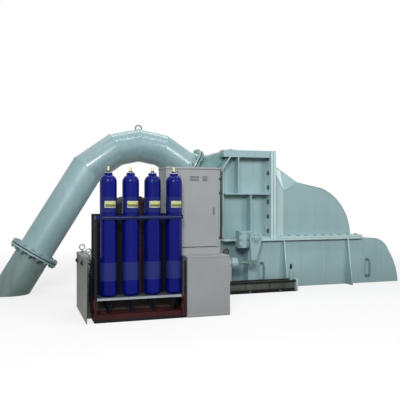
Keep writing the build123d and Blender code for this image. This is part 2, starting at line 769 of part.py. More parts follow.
# Shaft seal housing and the shaft end with its coupling flange, on the generator side
seal_end = CASING_BACK + SEAL_LENGTH
shaft_end = seal_end + SHAFT_STAND + COUPLING_T
with BuildPart() as shaft_seal_housing:
    add(shaft_round(SEAL_FLANGE_OD, CASING_BACK, SEAL_FLANGE_T))
    add(shaft_round(SEAL_OD, CASING_BACK, SEAL_LENGTH))
    chamfer(edges().filter_by(GeomType.CIRCLE).sort_by(Axis.Y)[-1], length=SEAL_CHAMFER)
shaft_seal_housing.part.label = "shaft_seal_housing"
export_step(shaft_seal_housing.part, "parts/shaft_seal_housing.step")

with BuildPart() as drive_shaft:
    add(shaft_round(SHAFT_OD, seal_end, SHAFT_STAND))
    with BuildSketch(elevation(seal_end + SHAFT_STAND)):
        with Locations((SHAFT_X, SHAFT_Z)):
            Circle(COUPLING_OD / 2)
            with PolarLocations(COUPLING_PCD / 2, COUPLING_BOLTS):
                Circle(COUPLING_HOLE / 2, mode=Mode.SUBTRACT)
    extrude(amount=-COUPLING_T)
drive_shaft.part.label = "drive_shaft"
export_step(drive_shaft.part, "parts/drive_shaft.step")

# Vane bearing: a bored barrel off the guide box, with the bracket beside it
bearing_front = LEVER_Y + HUB_T / 2 + LEVER_GAP
with BuildPart() as vane_bearing:
    with BuildSketch(elevation(BOX_FACE)):
        with Locations((HUB_X, HUB_Z)):
            Circle(VANE_BEARING_OD / 2)
    extrude(amount=BOX_FACE - bearing_front)
    with BuildSketch(elevation(rib_face)):
        with Locations((BRACKET_LEFT, BRACKET_LOW)):
            Rectangle(BRACKET_RIGHT - BRACKET_LEFT, BRACKET_TOP - BRACKET_LOW, align=Align.MIN)
        with Locations((BRACKET_LEFT, HUB_Z + VANE_BEARING_OD / 4)):
            Rectangle(HUB_X - BRACKET_LEFT, BRACKET_TOP - HUB_Z - VANE_BEARING_OD / 4, align=Align.MIN)
    extrude(amount=rib_face - BRACKET_FRONT)
    with BuildSketch(elevation(bearing_front)):
        with Locations((HUB_X, HUB_Z)):
            Circle(VANE_SHAFT_OD / 2 + RUNNING_GAP)
    extrude(amount=-(BOX_FACE - PLATE - bearing_front), mode=Mode.SUBTRACT)
vane_bearing.part.label = "vane_bearing"
export_step(vane_bearing.part, "parts/vane_bearing.step")

# Guide vane lever: hub and tapered arm, with the vane's shaft and the link pin in one piece
clevis_outer = LEVER_T / 2 + LEVER_GAP + CLEVIS_EAR
with BuildPart() as guide_vane_lever:
    with BuildSketch(elevation(LEVER_Y)):
        with Locations((HUB_X, HUB_Z)):
            Circle(HUB_OD / 2)
        with Locations((PIN_X, SERVO_Z)):
            Circle(LEVER_TIP_OD / 2)
        make_hull()
    extrude(amount=LEVER_T / 2, both=True)
    with BuildSketch(elevation(LEVER_Y)):
        with Locations((HUB_X, HUB_Z)):
            Circle(HUB_FACE_OD / 2)
    extrude(amount=HUB_T / 2, both=True)
    with BuildSketch(elevation(LEVER_Y)):
        with Locations((HUB_X, HUB_Z)):
            Circle(VANE_SHAFT_OD / 2)
    extrude(amount=HUB_T / 2 + CLEVIS_EAR)
    with BuildSketch(elevation(LEVER_Y)):
        with Locations((HUB_X, HUB_Z)):
            Circle(VANE_SHAFT_OD / 2)
    extrude(amount=-(BOX_FACE - 2 * PLATE - LEVER_Y))
    with BuildSketch(elevation(LEVER_Y)):
        with Locations((PIN_X, SERVO_Z)):
            Circle(PIN_OD / 2)
    extrude(amount=clevis_outer + LEVER_GAP, both=True)
guide_vane_lever.part.label = "guide_vane_lever"
export_step(guide_vane_lever.part, "parts/guide_vane_lever.step")

# Link rod: a clevis with tall slots round the lever's pin, on the servomotor's piston rod
clevis_left = PIN_X - CLEVIS_NECK
clevis_right = PIN_X + CLEVIS_H / 2
rod_inner_end = SERVO_FRONT - ROD_TRAVEL_OUT - ROD_GRIP
with BuildPart() as link_rod:
    with BuildSketch(Plane.YZ.offset(clevis_left)):
        with Locations((LEVER_Y, SERVO_Z)):
            Rectangle(2 * clevis_outer, CLEVIS_H)
    extrude(amount=-CLEVIS_BRIDGE)
    for side in (-1, 1):
        with BuildSketch(elevation(LEVER_Y + side * (LEVER_T / 2 + LEVER_GAP))):
            with Locations(((clevis_left + clevis_right) / 2, SERVO_Z)):
                Rectangle(clevis_right - clevis_left, CLEVIS_H)
            fillet(vertices().group_by(Axis.X)[-1], radius=CLEVIS_ROUND)
            with Locations(Location((PIN_X, SERVO_Z + PIN_RISE / 2 - PIN_SAG), 90)):
                SlotCenterToCenter(PIN_RISE, PIN_OD + 2 * PIN_PLAY, mode=Mode.SUBTRACT)
        extrude(amount=-side * CLEVIS_EAR)
    with BuildSketch(Plane.YZ.offset(rod_inner_end)):
        with Locations((LEVER_Y, SERVO_Z)):
            Circle(ROD_OD / 2)
    extrude(amount=clevis_left - CLEVIS_BRIDGE - rod_inner_end)
link_rod.part.label = "link_rod"
export_step(link_rod.part, "parts/link_rod.step")

# Servomotor: a cylinder with a round front head, bored for the rod's whole stroke
bore_end = rod_inner_end - ROD_TRAVEL_IN - LEVER_GAP
with BuildPart() as servo_cylinder:
    with BuildSketch(Plane.YZ.offset(SERVO_REAR)):
        with Locations((LEVER_Y, SERVO_Z)):
            Circle(SERVO_OD / 2)
    extrude(amount=SERVO_FRONT - SERVO_HEAD - SERVO_REAR)
    with BuildSketch(Plane.YZ.offset(SERVO_FRONT - SERVO_HEAD)):
        with Locations((LEVER_Y, SERVO_Z)):
            Circle(SERVO_HEAD_OD / 2)
    extrude(amount=SERVO_HEAD)
    fillet(edges().filter_by(GeomType.CIRCLE).sort_by(Axis.X)[-1], radius=SERVO_HEAD_ROUND)
    with BuildSketch(Plane.YZ.offset(bore_end)):
        with Locations((LEVER_Y, SERVO_Z)):
            Circle(ROD_OD / 2 + RUNNING_GAP)
    extrude(amount=SERVO_FRONT - bore_end, mode=Mode.SUBTRACT)
servo_cylinder.part.label = "servo_cylinder"
export_step(servo_cylinder.part, "parts/servo_cylinder.step")

with BuildPart() as servo_stands:
    for stand_x in STAND_XS:
        with BuildSketch(Plane.YZ.offset(stand_x)):
            with Locations((LEVER_Y, FRAME_H)):
                Rectangle(STAND_W, SERVO_Z - FRAME_H, align=(Align.CENTER, Align.MIN))
            with Locations((LEVER_Y, SERVO_Z)):
                Circle(SERVO_OD / 2, mode=Mode.SUBTRACT)
        extrude(amount=STAND_T)
servo_stands.part.label = "servo_stands"
export_step(servo_stands.part, "parts/servo_stands.step")

with BuildPart() as pressure_gauge:
    with BuildSketch(elevation(LEVER_Y)):
        with Locations((GAUGE_X, GAUGE_Z)):
            Circle(GAUGE_OD / 2)
    extrude(amount=GAUGE_DEPTH / 2, both=True)
    chamfer(edges().filter_by(GeomType.CIRCLE), length=GAUGE_CHAMFER)
    with BuildSketch(Plane.XY.offset(SERVO_Z + SERVO_OD / 2)):
        with Locations((GAUGE_X, LEVER_Y)):
            Circle(GAUGE_STEM / 2)
    extrude(until=Until.NEXT)
pressure_gauge.part.label = "pressure_gauge"
export_step(pressure_gauge.part, "parts/pressure_gauge.step")


def channel(face_y, open_way):
    """A rolled channel along X whose web is at the face given and whose lips point the open way."""
    lip_end = face_y + open_way * CHANNEL_W
    with BuildPart() as bar:
        with BuildSketch(Plane.YZ.offset(FRAME_LEFT)):
            Polygon(
                (face_y, 0),
                (lip_end, 0),
                (lip_end, CHANNEL_LIP),
                (face_y + open_way * CHANNEL_WEB, CHANNEL_LIP),
                (face_y + open_way * CHANNEL_WEB, FRAME_H - CHANNEL_LIP),
                (lip_end, FRAME_H - CHANNEL_LIP),
                (lip_end, FRAME_H),
                (face_y, FRAME_H),
                align=None,
            )
        extrude(amount=FRAME_RIGHT - FRAME_LEFT)
    return bar.part


# Floor frame: two channels, cross plates between their webs, and a rounded end plate
front_web = FRAME_FRONT + CHANNEL_W
rear_web = FRAME_REAR - CHANNEL_W
with BuildPart() as servo_frame:
    add(channel(front_web, -1))
    add(channel(rear_web, 1))
    with BuildSketch(Plane.XY):
        for plate_x in CROSS_PLATE_XS:
            with Locations((plate_x, front_web)):
                Rectangle(CHANNEL_LIP, rear_web - front_web, align=Align.MIN)
    extrude(amount=FRAME_H)
    with BuildSketch(Plane.YZ.offset(FRAME_RIGHT)):
        with Locations(((FRAME_FRONT + FRAME_REAR) / 2, 0)):
            Rectangle(FRAME_REAR - FRAME_FRONT, FRAME_H + CHANNEL_LIP, align=(Align.CENTER, Align.MIN))
        fillet(vertices().group_by(Axis.Y)[-1], radius=CHANNEL_W / 2)
    extrude(amount=END_PLATE_T)
servo_frame.part.label = "servo_frame"
export_step(servo_frame.part, "parts/servo_frame.step")

post_y = FRAME_FRONT + CHANNEL_W / 2
with BuildPart() as knob_post:
    with BuildSketch(Plane.XY.offset(FRAME_H)):
        with Locations((POST_X, post_y)):
            Circle(POST_OD / 2)
    extrude(amount=POST_H)
    with BuildSketch(Plane.XY.offset(FRAME_H + POST_H)):
        with Locations((POST_X, post_y)):
            Circle(KNOB_OD / 2)
    extrude(amount=KNOB_H)
    fillet(edges().filter_by(GeomType.CIRCLE).sort_by(Axis.Z)[-1], radius=KNOB_ROUND)
knob_post.part.label = "knob_post"
export_step(knob_post.part, "parts/knob_post.step")

# Governor: the oil tank with the side plate that runs on to the front, its lid, and the box on the right
tank_top = GOV_H - LID_T
with BuildPart() as oil_tank:
    with BuildSketch(Plane.XY):
        with Locations((GOV_LEFT, BAY_BACK)):
            Rectangle(BAY_RIGHT - GOV_LEFT, GOV_REAR - BAY_BACK, align=Align.MIN)
    extrude(amount=tank_top)
    offset(amount=-TANK_WALL, openings=faces().sort_by(Axis.Z)[-1])
    with BuildSketch(Plane.XY):
        with Locations((GOV_LEFT, GOV_FRONT)):
            Rectangle(TANK_WALL, BAY_DEPTH, align=Align.MIN)
    extrude(amount=tank_top)
oil_tank.part.label = "oil_tank"
export_step(oil_tank.part, "parts/oil_tank.step")

with BuildPart() as tank_lid:
    with BuildSketch(Plane.XY.offset(tank_top)):
        with Locations((GOV_LEFT - LID_LIP, BAY_BACK)):
            Rectangle(BAY_RIGHT - GOV_LEFT + LID_LIP, GOV_REAR - BAY_BACK + LID_LIP, align=Align.MIN)
    extrude(amount=LID_T)
tank_lid.part.label = "tank_lid"
export_step(tank_lid.part, "parts/tank_lid.step")

with BuildPart() as lower_cabinet:
    with BuildSketch(Plane.XY):
        with Locations((BAY_RIGHT, GOV_FRONT)):
            Rectangle(GOV_RIGHT - BAY_RIGHT, GOV_REAR - GOV_FRONT, align=Align.MIN)
    extrude(amount=GOV_H)
    offset(amount=-SHEET, openings=faces().sort_by(Axis.Z)[0])
lower_cabinet.part.label = "lower_cabinet"
export_step(lower_cabinet.part, "parts/lower_cabinet.step")

# Control cabinet, open in front behind its door
door_width = DOOR_RIGHT - BAY_RIGHT
door_height = DOOR_TOP - DOOR_LOW
door_middle = ((BAY_RIGHT + DOOR_RIGHT) / 2, (DOOR_LOW + DOOR_TOP) / 2)
with BuildPart() as cabinet_shell:
    with BuildSketch(Plane.XY.offset(GOV_H)):
        with Locations((CABINET_LEFT, BAY_BACK)):
            Rectangle(CABINET_RIGHT - CABINET_LEFT, CABINET_DEPTH, align=Align.MIN)
    extrude(amount=CABINET_H)
    with BuildSketch(Plane.XY.offset(GOV_H + SHEET)):
        with Locations((CABINET_LEFT + SHEET, BAY_BACK + SHEET)):
            Rectangle(CABINET_RIGHT - CABINET_LEFT - 2 * SHEET, CABINET_DEPTH - 2 * SHEET, align=Align.MIN)
    extrude(amount=CABINET_H - 2 * SHEET, mode=Mode.SUBTRACT)
    with BuildSketch(elevation(BAY_BACK)):
        with Locations(door_middle):
            Rectangle(door_width - 2 * DOOR_LAP, door_height - 2 * DOOR_LAP)
    extrude(amount=-2 * SHEET, mode=Mode.SUBTRACT)
cabinet_shell.part.label = "cabinet_shell"
export_step(cabinet_shell.part, "parts/cabinet_shell.step")

door_back = BAY_BACK - DOOR_GAP
with BuildPart() as cabinet_door:
    with BuildSketch(elevation(door_back)):
        with Locations(door_middle):
            Rectangle(door_width, door_height)
    extrude(amount=DOOR_T)
    offset(amount=-DOOR_SKIN, openings=faces().sort_by(Axis.Y)[-1])
    with BuildSketch(elevation(door_back - DOOR_T)):
        with Locations((door_middle[0] - LOUVRE_OFFSET, DOOR_TOP - LOUVRE_DROP)):
            with GridLocations(0, LOUVRE_PITCH, 1, LOUVRE_ROWS):
                SlotOverall(LOUVRE_W, LOUVRE_H)
        with Locations((door_middle[0] + LOUVRE_OFFSET, DOOR_TOP - LOUVRE_DROP)):
            with GridLocations(0, LOUVRE_PITCH, 1, LOUVRE_ROWS):
                SlotOverall(SMALL_LOUVRE_W, LOUVRE_H)
    extrude(amount=-DOOR_T, mode=Mode.SUBTRACT)
cabinet_door.part.label = "cabinet_door"
export_step(cabinet_door.part, "parts/cabinet_door.step")

with BuildPart() as door_handle:
    with BuildSketch(elevation(door_back - DOOR_T)):
        with Locations((DOOR_RIGHT - HANDLE_INSET, door_middle[1])):
            RectangleRounded(HANDLE_PLATE_W, HANDLE_PLATE_H, HANDLE_PLATE_ROUND)
    extrude(amount=HANDLE_PLATE_T)
    with BuildSketch(elevation(door_back - DOOR_T - HANDLE_PLATE_T)):
        with Locations((DOOR_RIGHT - HANDLE_INSET, door_middle[1])):
            SlotOverall(HANDLE_GRIP_H, HANDLE_PLATE_W / 2, rotation=90)
    extrude(amount=HANDLE_GRIP_T)
door_handle.part.label = "door_handle"
export_step(door_handle.part, "parts/door_handle.step")

# Pump motor on the tank lid: mounting flange, lantern and motor barrel with a round cowl
with BuildPart() as pump_motor:
    with BuildSketch(Plane.XZ.offset(-MOTOR_Y)):
        with Locations((MOTOR_X, GOV_H)):
            Rectangle(MOTOR_FLANGE_OD / 2, MOTOR_FLANGE_T, align=Align.MIN)
            Rectangle(LANTERN_OD / 2, LANTERN_H + MOTOR_FLANGE_T, align=Align.MIN)
        with Locations((MOTOR_X, GOV_H + LANTERN_H)):
            Rectangle(MOTOR_OD / 2, MOTOR_TOP - GOV_H - LANTERN_H, align=Align.MIN)
    revolve(axis=Axis((MOTOR_X, MOTOR_Y, 0), (0, 0, 1)))
    fillet(edges().filter_by(GeomType.CIRCLE).sort_by(Axis.Z)[-1], radius=MOTOR_CROWN)
pump_motor.part.label = "pump_motor"
export_step(pump_motor.part, "parts/pump_motor.step")


def lifting_eye(eye_x, eye_y):
    """A ring bolt that stands on the tank's lid."""
    with BuildPart() as eye:
        with BuildSketch(Plane.XY.offset(GOV_H)):
            with Locations((eye_x, eye_y)):
                Circle(EYE_FOOT_OD / 2)
        extrude(amount=EYE_BAR)
        with BuildSketch(Plane.XY.offset(GOV_H + EYE_BAR)):
            with Locations((eye_x, eye_y)):
                Circle(EYE_STEM_OD / 2)
        extrude(amount=EYE_STEM - EYE_BAR)
        with Locations(Location((eye_x, eye_y, GOV_H + EYE_STEM + EYE_RADIUS - EYE_SINK), (90, 0, 0))):
            Torus(EYE_RADIUS, EYE_BAR / 2)
    return eye.part


# Lifting eyes on the lid's free corners
eye_spots = (
    (GOV_LEFT + EYE_INSET, BAY_BACK + EYE_INSET),
    (GOV_LEFT + EYE_INSET, GOV_REAR - EYE_INSET),
    (BAY_RIGHT - EYE_INSET, GOV_REAR - EYE_INSET),
)
with BuildPart() as tank_eyebolts:
    for eye_x, eye_y in eye_spots:
        add(lifting_eye(eye_x, eye_y))
tank_eyebolts.part.label = "tank_eyebolts"
export_step(tank_eyebolts.part, "parts/tank_eyebolts.step")


def bottle_form(inset, bottle_x):
    """Upright bottle with a rounded foot, a domed shoulder and a crown, shrunk all round by the inset."""
    radius = BOTTLE_OD / 2 - inset
    crown_radius = BOTTLE_CROWN_OD / 2 - inset
    low = SHELF_TOP + inset
    top = BOTTLE_TOP - inset
    foot_round = BOTTLE_BASE_ROUND - inset
    foot_start = (bottle_x + radius - foot_round, low)
    foot_end = (bottle_x + radius, low + foot_round)
    shoulder = (bottle_x + radius, BOTTLE_BODY_TOP)
    crown_foot = (bottle_x + crown_radius, top - BOTTLE_CROWN_H)
    crown_edge = (bottle_x + crown_radius, top)
    with BuildPart() as form:
        with BuildSketch(Plane.XZ.offset(-BOTTLE_Y)):
            with BuildLine():
                Line((bottle_x, low), foot_start)
                TangentArc(foot_start, foot_end, tangent=(1, 0))
                Line(foot_end, shoulder)
                TangentArc(shoulder, crown_foot, tangent=(0, 1))
                Polyline(crown_foot, crown_edge, (bottle_x, top), (bottle_x, low))
            make_face()
        revolve(axis=Axis((bottle_x, BOTTLE_Y, 0), (0, 0, 1)))
    return form.part


# Accumulators: four gas bottles with an open port in the foot
bottle_xs = [BOTTLE_FIRST_X + BOTTLE_PITCH * n for n in range(BOTTLES)]
for number, bottle_x in enumerate(bottle_xs, start=1):
    with BuildPart() as accumulator:
        add(bottle_form(0, bottle_x))
        add(bottle_form(BOTTLE_WALL, bottle_x), mode=Mode.SUBTRACT)
        with BuildSketch(Plane.XY.offset(SHELF_TOP)):
            with Locations((bottle_x, BOTTLE_Y)):
                Circle(PORT_HOLE / 2)
        extrude(amount=2 * BOTTLE_WALL, mode=Mode.SUBTRACT)
    accumulator.part.label = f"accumulator_{number}"
    export_step(accumulator.part, f"parts/accumulator_{number}.step")

with BuildPart() as accumulator_valves:
    for bottle_x in bottle_xs:
        with BuildSketch(Plane.XY.offset(BOTTLE_TOP)):
            with Locations((bottle_x, BOTTLE_Y)):
                Circle(NECK_OD / 2)
        extrude(amount=NECK_H)
        with BuildSketch(Plane.XY.offset(BOTTLE_TOP + NECK_H)):
            with Locations((bottle_x, BOTTLE_Y)):
                RegularPolygon(VALVE_OD / 2, 6)
        extrude(amount=VALVE_H)
accumulator_valves.part.label = "accumulator_valves"
export_step(accumulator_valves.part, "parts/accumulator_valves.step")

with BuildPart() as accumulator_ports:
    for bottle_x in bottle_xs:
        with BuildSketch(Plane.XY.offset(SHELF_TOP)):
            with Locations((bottle_x, BOTTLE_Y)):
                Circle(PORT_OD / 2)
        extrude(amount=-SHELF_T)
        with BuildSketch(Plane.XY.offset(SHELF_Z)):
            with Locations((bottle_x, BOTTLE_Y)):
                Circle(CONE_OD / 2)
        with BuildSketch(Plane.XY.offset(SHELF_Z - PORT_DROP + PORT_TIP_H)):
            with Locations((bottle_x, BOTTLE_Y)):
                Circle(PORT_TIP_OD / 2)
        loft()
        with BuildSketch(Plane.XY.offset(SHELF_Z - PORT_DROP)):
            with Locations((bottle_x, BOTTLE_Y)):
                Circle(PORT_TIP_OD / 2)
        extrude(amount=PORT_TIP_H)
accumulator_ports.part.label = "accumulator_ports"
export_step(accumulator_ports.part, "parts/accumulator_ports.step")

# Rack: the shelf that carries the bottles, with a hole for each port
shelf_left = LEFT_POST_X + LEFT_POST_W
post_right = BAY_RIGHT - RACK_SIDE_GAP
shelf_right = post_right - RIGHT_POST_W
rack_front = GOV_FRONT + RACK_INSET
with BuildPart() as rack_shelf:
    with BuildSketch(Plane.XY.offset(SHELF_Z)):
        with Locations((shelf_left, rack_front)):
            Rectangle(shelf_right - shelf_left, RACK_REAR_Y - rack_front, align=Align.MIN)
        with Locations(*[(bottle_x, BOTTLE_Y) for bottle_x in bottle_xs]):
            Circle(SHELF_HOLE / 2, mode=Mode.SUBTRACT)
    extrude(amount=SHELF_T)
rack_shelf.part.label = "rack_shelf"
export_step(rack_shelf.part, "parts/rack_shelf.step")


def angle_post(corner_x, corner_y, way_x, way_y, width, low, top):
    """An upright of rolled angle, given by its outer corner and the ways that its legs point."""
    with BuildPart() as post:
        with BuildSketch(Plane.XY.offset(low)):
            Polygon(
                (corner_x, corner_y),
                (corner_x + way_x * width, corner_y),
                (corner_x + way_x * width, corner_y + way_y * POST_T),
                (corner_x + way_x * POST_T, corner_y + way_y * POST_T),
                (corner_x + way_x * POST_T, corner_y + way_y * POST_DEPTH),
                (corner_x, corner_y + way_y * POST_DEPTH),
                align=None,
            )
        extrude(amount=top - low)
    return post.part


# Rack frame: floor beams in front and behind, corner posts and the middle post
rear_beam_y = BAY_BACK - PANEL_T - RACK_BEAM_W / 2
with BuildPart() as rack_frame:
    with BuildSketch(Plane.XY):
        with Locations((LEFT_POST_X, rack_front)):
            Rectangle(post_right - LEFT_POST_X, RACK_BEAM_W, align=Align.MIN)
        with Locations((LEFT_POST_X, rear_beam_y)):
            Rectangle(post_right - LEFT_POST_X, RACK_BEAM_W / 2, align=Align.MIN)
        with Locations((LEFT_POST_X, rack_front), (post_right - POST_DEPTH, rack_front)):
            Rectangle(POST_DEPTH, rear_beam_y - rack_front, align=Align.MIN)
    extrude(amount=RACK_BEAM_H)
    add(angle_post(LEFT_POST_X, rack_front, 1, 1, LEFT_POST_W, RACK_BEAM_H, BAND_Z))
    add(angle_post(post_right, rack_front, -1, 1, RIGHT_POST_W, RACK_BEAM_H, RIGHT_POST_TOP))
    add(angle_post(LEFT_POST_X, BAY_BACK - PANEL_T, 1, -1, LEFT_POST_W, RACK_BEAM_H, BAND_Z))
    add(angle_post(post_right, BAY_BACK - PANEL_T, -1, -1, RIGHT_POST_W, RACK_BEAM_H, BAND_Z))
rack_frame.part.label = "rack_frame"
export_step(rack_frame.part, "parts/rack_frame.step")

middle_x = (bottle_xs[BOTTLES // 2 - 1] + bottle_xs[BOTTLES // 2]) / 2
with BuildPart() as rack_middle_post:
    with BuildSketch(Plane.XY.offset(SHELF_TOP)):
        with Locations((middle_x, RACK_REAR_Y)):
            Rectangle(MIDDLE_POST_W, MIDDLE_POST_W, align=(Align.CENTER, Align.MAX))
    extrude(amount=MIDDLE_POST_TOP - SHELF_TOP)
rack_middle_post.part.label = "rack_middle_post"
export_step(rack_middle_post.part, "parts/rack_middle_post.step")

# Clamp band: a flat bar bent round the front of the bank, its ends on the rear posts
band_front = BOTTLE_Y - BOTTLE_OD / 2 - BAND_GAP
band_left = LEFT_POST_X + LEFT_POST_W - BAND_END_GAP
band_right = bottle_xs[-1] + BOTTLE_OD / 2 + BAND_GAP
band_rear = BAY_BACK - PANEL_T
with BuildPart() as rack_clamp_band:
    with BuildSketch(Plane.XY.offset(BAND_Z)):
        with BuildLine():
            FilletPolyline(
                (band_left, band_rear),
                (band_left, band_front - BAND_T),
                (band_right + BAND_T, band_front - BAND_T),
                (band_right + BAND_T, band_rear),
                radius=BAND_BEND,
            )
            Line((band_right + BAND_T, band_rear), (band_right, band_rear))
            FilletPolyline(
                (band_right, band_rear),
                (band_right, band_front),
                (band_left + BAND_T, band_front),
                (band_left + BAND_T, band_rear),
                radius=BAND_BEND - BAND_T,
            )
            Line((band_left + BAND_T, band_rear), (band_left, band_rear))
        make_face()
    extrude(amount=BAND_H)
rack_clamp_band.part.label = "rack_clamp_band"
export_step(rack_clamp_band.part, "parts/rack_clamp_band.step")

with BuildPart() as rack_back_panel:
    with BuildSketch(elevation(BAY_BACK)):
        with Locations((LEFT_POST_X, 0)):
            Rectangle(post_right - LEFT_POST_X, PANEL_TOP, align=Align.MIN)
    extrude(amount=PANEL_T)
rack_back_panel.part.label = "rack_back_panel"
export_step(rack_back_panel.part, "parts/rack_back_panel.step")
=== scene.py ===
"""Looks of the water turbine set: inlet bend, guide box, hood, base casing and governor."""

import logging
import math
from contextlib import contextmanager
from dataclasses import dataclass
from enum import Enum
from typing import Callable, Iterator, Sequence

import bpy
from mathutils import Matrix, Vector


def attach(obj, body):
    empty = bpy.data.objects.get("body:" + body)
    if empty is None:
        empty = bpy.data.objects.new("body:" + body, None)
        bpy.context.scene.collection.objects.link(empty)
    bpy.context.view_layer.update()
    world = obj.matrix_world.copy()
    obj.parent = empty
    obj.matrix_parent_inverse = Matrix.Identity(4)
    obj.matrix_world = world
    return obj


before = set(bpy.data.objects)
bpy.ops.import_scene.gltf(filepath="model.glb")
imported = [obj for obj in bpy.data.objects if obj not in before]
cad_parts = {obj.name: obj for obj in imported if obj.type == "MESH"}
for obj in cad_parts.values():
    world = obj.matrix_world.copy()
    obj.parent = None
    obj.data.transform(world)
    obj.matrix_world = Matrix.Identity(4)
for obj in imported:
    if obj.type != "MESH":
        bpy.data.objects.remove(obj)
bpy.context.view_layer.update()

LOG = logging.getLogger("turbine_set")
Point = Sequence[float]
Colour = tuple[float, float, float, float]
Piece = bpy.types.Object
Tree = bpy.types.NodeTree
Socket = bpy.types.NodeSocket

# Middle plane of the turbine, half widths of guide box and casing, height of the split; metres.
SET_Y = 0.810
BOX_HALF = 0.470
CASING_HALF = 0.710
SPLIT_Z = 0.870
FLANGE_STAND = 0.070
# Smoothing angle for round pieces that were joined from coarse ones, in degrees.
ROUND = 60


class Body(Enum):
    """The moving groups that a piece can ride on."""

    PLANT = "plant"
    DOOR = "door"
    LEVER = "vane_lever"
    LINK = "link"


class Slot(Enum):
    """The record's material slots, by name; no piece here takes one."""

    CASING = "casing_paint"
    CABINET = "cabinet_paint"
    TANK = "tank_paint"
    RED = "rack_red_paint"
    DARK = "rack_dark_paint"
    SHELF = "shelf_paint"
    BRASS = "valve_brass"
    STEEL = "machined_steel"
    MOTOR = "motor_paint"
    GAUGE = "gauge_case"


# ---- materials ----


def to_linear(colour: str) -> Colour:
    """Turn an sRGB hex colour into the linear values that Blender's sockets take.

    Args:
        colour: six hex digits after a hash sign.

    Returns:
        Red, green, blue and an alpha of one, linear.
    """
    channels = [int(colour[i : i + 2], 16) / 255 for i in (1, 3, 5)]
    red, green, blue = (c / 12.92 if c <= 0.04045 else ((c + 0.055) / 1.055) ** 2.4 for c in channels)
    return (red, green, blue, 1.0)


def add_node(tree: Tree, kind: str, inputs: dict | None = None, **settings: str) -> bpy.types.Node:
    """Add one node with its settings, and what stands in or runs into its sockets.

    Args:
        tree: the material's or world's node tree.
        kind: the node's type name after "ShaderNode".
        inputs: for a socket's name or number, a value, a hex colour or the socket that feeds it.
        settings: attributes to set on the node.

    Returns:
        The new node.
    """
    node = tree.nodes.new(f"ShaderNode{kind}")
    for name, value in settings.items():
        setattr(node, name, value)
    for socket, value in (inputs or {}).items():
        if isinstance(value, bpy.types.NodeSocket):
            tree.links.new(value, node.inputs[socket])
        else:
            node.inputs[socket].default_value = to_linear(value) if isinstance(value, str) else value
    return node


def noise(tree: Tree, place: Socket, scale: float, detail: float, roughness: float = 0.5) -> Socket:
    """Cloudy noise from 0 to 1, with so many patches to a metre."""
    inputs = {"Vector": place, "Scale": scale, "Detail": detail, "Roughness": roughness}
    return add_node(tree, "TexNoise", inputs).outputs["Fac"]


def spread(tree: Tree, value: Socket, span: Point, result: Point) -> Socket:
    """Stretch a value's span over the result's, and hold it at both ends."""
    limits = dict(zip(("From Min", "From Max", "To Min", "To Max"), (*span, *result)))
    return add_node(tree, "MapRange", {"Value": value, **limits}).outputs[0]


def blend(tree: Tree, share: Socket, first: Socket | str, second: Socket | str) -> Socket:
    """Mix the second colour over the first by a share."""
    return add_node(tree, "Mix", {0: share, 6: first, 7: second}, data_type="RGBA").outputs[2]


def maths(tree: Tree, operation: str, first: Socket, second: Socket | float) -> Socket:
    """Work out one operation on two values."""
    return add_node(tree, "Math", {0: first, 1: second}, operation=operation).outputs[0]


def relief(tree: Tree, height: Socket, strength: float, depth: float) -> Socket:
    """Turn a height into a normal, the depth in metres."""
    return add_node(tree, "Bump", {"Height": height, "Strength": strength, "Distance": depth}).outputs[0]


def new_material(name: str) -> tuple[bpy.types.Material, Tree, Socket]:
    """Start an empty node material.

    Args:
        name: the finish's plain name.

    Returns:
        The material, its node tree and the object coordinates in metres.
    """
    material = bpy.data.materials.new(name)
    material.use_nodes = True
    tree = material.node_tree
    tree.nodes.clear()
    return material, tree, add_node(tree, "TexCoord").outputs["Object"]


def show(tree: Tree, inputs: dict) -> None:
    """Put a Principled shader with these inputs on the surface."""
    shader = add_node(tree, "BsdfPrincipled", inputs)
    add_node(tree, "OutputMaterial", {"Surface": shader.outputs[0]})


